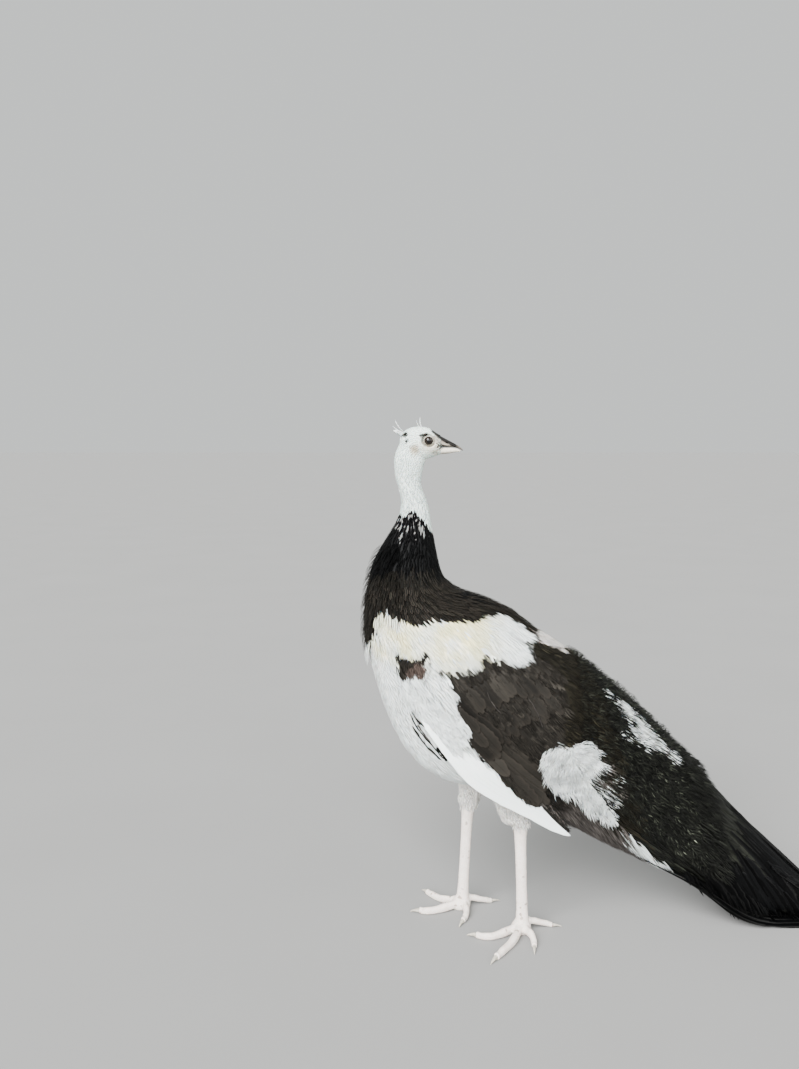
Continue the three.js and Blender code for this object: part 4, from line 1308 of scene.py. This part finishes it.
def add_edge_plumes():
    """Shorter feathers that hang loose below the lower edge of the train's end."""
    rings = 9
    starts, tips = [], []
    for side in (-1, 1):
        for place in np.linspace(0, len(TRAIN_EDGE) - 1, EDGE_PLUMES):
            x, z = along_rows(TRAIN_EDGE, np.array([place]))[0] + draw.uniform(-4, 4, 2) + [0, 4]
            start = side_point(x, z, side)
            fall = draw.uniform(0.55, 1.15)
            if near(start[None], SKIN_TREE)[2][0] > 1:
                continue
            reach = draw.uniform(24, 40) * np.array([math.cos(fall), 0.1 * side, -math.sin(fall)])
            starts.append(start)
            tips.append(np.maximum(start + reach, [0, -200, 1.5]))
    starts, tips = np.array(starts), np.array(tips)
    lines = arcs(starts, (starts + tips) / 2 + [2, 0, -2], tips, rings)
    middles, ups = clear_of_skin(lines, 2.0, np.full(rings, 40.0))
    parts = vane_mesh(middles, ups, draw.uniform(1.6, 3.6, len(starts)), profile="pointed",
                      fray=0.3, ridge=0.3, camber=0.1)
    add_alike("train_edge", parts, starts, BLACKS, BLACK, 0.2, varied=0.4, broad=True)


CREST_TOP = 715  # no barb reaches higher
# Crest shafts: root x, z, tip x, z, lateral place of the tip, half width, barbs, their reach.
CREST = {
    "crest_rear": [(8, 691.5, -7.5, 696.6, 1, 2.9, 90, 3.0), (9, 689.5, -4, 694, 2, 2.2, 60, 2.8),
                   (8, 692.5, -4, 698, -1, 1.3, 40, 2.6), (5, 695, -6, 711, -3, 0.6, 12, 1.8),
                   (6, 692, -9, 703, 5, 0.45, 10, 1.6)],
    "crest_crown": [(31, 699, 28, 715, -1, 0.7, 12, 1.8), (30, 699, 23, 710.5, 3, 0.4, 8, 1.4)],
}


def add_crest():
    """Worn crest shafts with a few short barbs."""
    for node, shafts in CREST.items():
        middles, halves = [], []
        for root_x, root_z, tip_x, tip_z, tip_y, width, barbs, longest in shafts:
            t = np.linspace(0, 1, 6)[:, None]
            root, tip = np.array([root_x, 0, root_z]), np.array([tip_x, tip_y, tip_z])
            line = root + (tip - root) * t - np.array([1.5, 0, 0]) * np.sin(np.pi * t)
            middles.append(line)
            halves.append(width)
            ahead = unit(tip - root)
            for k in range(barbs):
                place = 0.05 + 0.9 * k / (barbs - 1)
                start = np.array([np.interp(place, t[:, 0], line[:, c]) for c in range(3)])
                spread_way = np.array([math.cos(2.4 * k), math.sin(2.4 * k), 0.2])
                side = unit(spread_way - spread_way @ ahead * ahead)
                end = start + longest * (1.1 - 0.5 * place) * (ahead * 0.85 + side * 0.42)
                end[2] = min(end[2], CREST_TOP)
                middles.append(start + (end - start) * t)
                halves.append(0.26 if barbs < 20 else 0.5)
        middles = np.array(middles)
        ups = np.broadcast_to(np.array([0.0, -1.0, 0.0]), middles.shape)
        parts = vane_mesh(middles, ups, np.array(halves), profile="quill", ridge=0.35)
        add_alike(f"{node}_wisps", parts, middles[:, 0], WHITES, WHITE, nodes=(node,))


# Thin lines of feather edges: each has its half width and its colour. The first stand in
# the slit between the belly and the folded wing, on the bird's left only: dark feathers seen
# in the gap and painted shade of the gap in one. The second are pale shafts on the wing.
SLIT_SHADE_LINES = [([(13, 322), (22, 304), (33, 289), (46, 275), (59, 258)], 1.0, MANTLE),
        ([(17, 303), (24, 291), (36, 276), (47, 265), (58, 255)], 1.5, WING_DARK),
        ([(16, 325), (24, 312), (39, 300), (45, 291), (52, 277), (58, 270), (64, 257)], 1.1,
         WING_DARK),
        ([(24, 306), (33, 293), (42, 282)], 1.3, GREY_BROWN),
        ([(22, 315), (26, 309), (29, 307)], 1.5, MANTLE),
        ([(50, 276), (56, 268), (60, 262), (64, 256)], 2.6, MANTLE)]
WING_SHAFTS = [([(112, 364), (118, 350), (131, 334)], 0.45, GREY_BROWN),
               ([(116, 297), (129, 278), (145, 265), (161, 243)], 0.45, GREY_BROWN),
               ([(118, 289), (132, 270), (153, 246)], 0.4, GREY_BROWN),
               ([(165, 354), (176, 338), (185, 314)], 0.45, GREY_BROWN)]


def add_lines(name, lines, off, kind, strength, sides=(-1, 1)):
    """Short strands, end over end, along lines on these sides, this far off the skin."""
    rings, strands = 7, 9
    middles, halves, colours = [], [], []
    for side in sides:
        for line, half, shade in lines:
            for k in range(strands):
                start = (len(line) - 1) * k / (strands + 1.5)
                end = start + (len(line) - 1) * draw.uniform(2.0, 2.5) / (strands + 1.5)
                rows = along_rows(line, np.linspace(start, end, rings)) + draw.uniform(-0.5, 0.5, 2)
                middles.append([side_point(x, z, side) + np.array([0, side * off, 0])
                                for x, z in rows])
                halves.append(half * draw.uniform(0.6, 1.1))
                colours.append(shade)
    middles = np.array(middles)
    parts = vane_mesh(middles, outward(middles), np.array(halves), profile="pointed", fray=0.3,
                      ridge=0.15)
    add_alike(name, parts, middles[:, 4], kind, np.array(colours) * strength)


add_primaries()
add_wing_rows()
for strip in (("wing_fringe", 190, (168, 318), (-6, 4), 1.3, (11, 24), 6.4, BROWNS, WING_DARK),
              ("wing_end", 260, (276, 332), (0, 44), 0.8, (12, 28), 5.2, BROWNS, WING_DARK),
              ("wing_tuft", 70, (148, 170), (-5, 6), 0.9, (8, 17), 7.6, WHITES, WHITE),
              ("blade_fringe", 900, (70, 172), (-36, -4), 0.5, (14, 26), 5.4, WHITES, WHITE)):
    add_fringe(*strip)
add_fluff_wisps()
add_tail()
add_plumes()
add_edge_plumes()
# Dark strands in the slit on the bird's left: partly dark feathers, partly painted shade of the
# gap.
add_lines("slit_shade_strands", SLIT_SHADE_LINES, 1.8, BROWNS, 1.2, (-1,))
add_lines("wing_shafts", WING_SHAFTS, 6.2, GREYS, 0.6)
add_crest()
add_fringe("wing_frayed", 240, (300, 334), (-4, 34), 1.2, (16, 34), 5.5, BROWNS, WING_DARK)
tract("coat_blade_edge", named("primaries_") & inside(GREY_FLANK, middle_x, middle_z), 3.6, 22, 0.8,
      4.0, lie="hang", rings=6, yaw=0.3, locks=4, fan=0.4, sample=0.0, shade=WING_DARK, base=1.0,
      **LOOSE)

# ---- bill, claws and eyes ---------------------------------------------------------------

# Along the bill, from its root: height of its ridge and of its cutting edge at each x.
BILL_TOP = ([55, 63, 72, 79, 86], [690, 685.8, 681, 677, 671])
BILL_EDGE = ([55, 66, 74, 78, 82, 86], [674.8, 674.7, 674.0, 673.0, 671.4, 668.8])
NOSTRIL = (64.5, 680.2)
LORE = [(54, 677.5), (61, 674.8), (64, 674.6)]  # the dark line from the face on to the bill


def horn_piece(name, node, voxel, rounds, colours, shape=None):
    """Bill or claw: a smooth piece of its own that stands for one node."""
    points, edges, faces = remeshed([node], voxel, 0.0)
    points = relaxed(points, edges, np.ones(len(points)), rounds)
    if shape:
        points = shape(points, normals_of(points, faces)[0])
    points[:, 2] = np.maximum(points[:, 2], 0.0)
    piece = make_object(name, points, faces)
    paint(piece, np.column_stack([colours(points), np.zeros(len(points))]))
    return keep(piece, "horn", HORN_FINISH, node)


def upper_bill(points, normals):
    """A culmen ridge, an oval nostril under its fold, and a cutting edge."""
    x, z = points[:, 0], points[:, 2]
    level = z + 0.35 * (x - NOSTRIL[0])
    nostril = oval(x, level, NOSTRIL, (2.6, 0.9))
    fold = oval(x, level, (64, 682.2), (4, 1))
    groove = np.exp(-(((z - 676.4 + 0.12 * (x - 60)) / 0.7) ** 2)) * (1 - smooth(70, 80, x))
    moved = points + normals * (0.5 * fold - 1.5 * nostril - 0.3 * groove)[:, None]
    moved[:, 1] *= 1 - 0.35 * smooth(-3.5, 0, z - np.interp(x, *BILL_TOP))
    return moved


def bill_colour(points):
    """Dark along the ridge, the nostril and the cutting edge, pale between them."""
    x, z = points[:, 0], points[:, 2]
    top, edge = np.interp(x, *BILL_TOP), np.interp(x, *BILL_EDGE)
    colour = np.tile(np.array(HORN_GREY), (len(points), 1))
    colour = blend(colour, HORN_PALE, 0.7 * np.exp(-((z - edge - 3.4) / 1.3) ** 2) * (x < 78))
    colour = blend(colour, HORN_DARK, smooth(-7.2, -5.0, z - top) * (1 - 0.5 * smooth(76, 82, x)))
    colour = blend(colour, HORN_DARK, 0.92 * np.exp(-((z - edge) / 1.8) ** 2))
    colour = blend(colour, HORN_DARK, oval(x, z, NOSTRIL, (2.8, 1.5)))
    gap = line_distance(x, z, LORE) + 0.5 * ripple(points, 1.8, 6.0)
    return blend(colour, HORN_DARK, 0.92 * (1 - smooth(1.4, 2.8, gap)))


def lower_colour(points):
    """Almost white beside the cutting edge, horn-coloured below."""
    x, z = points[:, 0], points[:, 2]
    colour = blend(np.tile(np.array(HORN_PALE), (len(points), 1)), HORN_GREY,
                   smooth(668.5, 665, z) * 0.8 + 0.2 * ripple(points, 9, 3.0))
    return blend(colour, HORN_DARK, 0.8 * smooth(673.0, 673.9, z) * (x < 76))


def claw_colour(points):
    """Pale horn with darker clouds."""
    share = smooth(-0.3, 0.6, ripple(points, 4, 1.0)) * 0.5
    return np.array(HORN_PALE) * 0.7 + (np.array(HORN_DARK) - HORN_PALE) * share[:, None] * 0.45


horn_piece("bill_top", "bill_upper", 0.45, 4, bill_colour, upper_bill)
horn_piece("bill_bottom", "bill_lower", 0.45, 4, lower_colour)
for node in sorted(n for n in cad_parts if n.startswith("claw_")):
    horn_piece(f"nail_{node[5:]}", node, 0.5, 3, claw_colour)

EYE_FINISH = eye_material()
CORNEA = 0.35  # how far it stands out


def add_eye(label, side):
    """A ball with a slightly raised cornea, its rings around the line of sight."""
    rings, sectors = 40, 56
    points, faces = [], []
    for r in range(1, rings):
        turn = math.pi * r / rings
        for s in range(sectors):
            angle = 2 * math.pi * s / sectors
            out, deep = math.sin(turn), math.cos(turn)
            radius = EYE_RADIUS + CORNEA * math.exp(-((out * EYE_RADIUS) / 3.2) ** 4) * (deep > 0)
            points.append((radius * out * math.cos(angle), side * radius * deep,
                           radius * out * math.sin(angle)))
    points += [(0, side * (EYE_RADIUS + CORNEA), 0), (0, -side * EYE_RADIUS, 0)]
    for r in range(rings - 2):
        for s in range(sectors):
            a, b = r * sectors + s, r * sectors + (s + 1) % sectors
            faces.append((a, b, b + sectors, a + sectors)[::side])
    for s in range(sectors):
        a, b = s, (s + 1) % sectors
        faces.append((len(points) - 2, b, a)[::side])
        last = (rings - 2) * sectors
        faces.append((len(points) - 1, last + a, last + b)[::side])
    local = np.array(points)
    piece = make_object(f"eyeball_{label}", local + EYE * [1, side, 1], faces)
    layer = piece.data.attributes.new("off_axis", "FLOAT", "POINT")
    off = np.where(local[:, 1] * side > 0, np.hypot(local[:, 0], local[:, 2]), EYE_RADIUS)
    layer.data.foreach_set("value", off.astype(np.float32))
    keep(piece, "eye", EYE_FINISH, f"eye_{label}")


add_eye("left", -1)
add_eye("right", 1)

# ---- camera, light and floor -------------------------------------------------------------

CAMERA_AT = (0.0, -1203.0, 680.0)
CAMERA_DOWN = math.radians(5.93613)
SENSOR = 36.0  # its height
camera_data = bpy.data.cameras.new("camera")
camera_data.lens = 29.6352
camera_data.sensor_fit = "VERTICAL"
camera_data.sensor_height = SENSOR
camera_data.clip_start = 0.01
camera = put_object("camera", camera_data)
camera.location = metres(CAMERA_AT)
camera.rotation_euler = (math.pi / 2 - CAMERA_DOWN, 0, 0)
bpy.context.scene.camera = camera


FLOOR_REACH = 60.0  # metres, from its middle
FLOOR_TONES = [(0.215, 0.215, 0.21, 1), (0.235, 0.235, 0.23, 1)]


def add_floor():
    """A plain pale floor, far larger than the bird."""
    far = FLOOR_REACH
    mesh = bpy.data.meshes.new("floor")
    mesh.from_pydata([(-far, -far, 0), (far, -far, 0), (far, far, 0), (-far, far, 0)], [],
                     [(0, 1, 2, 3)])
    g = Graph("floor_paint", Roughness=0.95, Specular_IOR_Level=0.1)
    mesh.materials.append(g.colour(g.mix(g.noise(3.0), *FLOOR_TONES)))
    put_object("floor", mesh)


def add_sun(name, place, angle, strength):
    """Even soft light from the direction of a place, towards the bird."""
    data = bpy.data.lights.new(name, "SUN")
    data.angle = angle
    data.energy = strength
    light = put_object(name, data)
    light.location = place
    light.rotation_euler = (-Vector(place)).to_track_quat("-Z", "Y").to_euler()


add_floor()
add_sun("key", (-1.4, -2.7, 2.4), 0.8, 11.5)
add_sun("fill", (2.4, -1.6, 1.2), 1.0, 1.6)
add_sun("front", (-0.4, -3.0, 0.5), 1.2, 4.2)
world = bpy.data.worlds.new("room")
world.use_nodes = True
sky = world.node_tree.nodes["Background"]
sky.inputs["Color"].default_value = (0.93, 0.96, 0.95, 1)
sky.inputs["Strength"].default_value = 0.9
bpy.context.scene.world = world
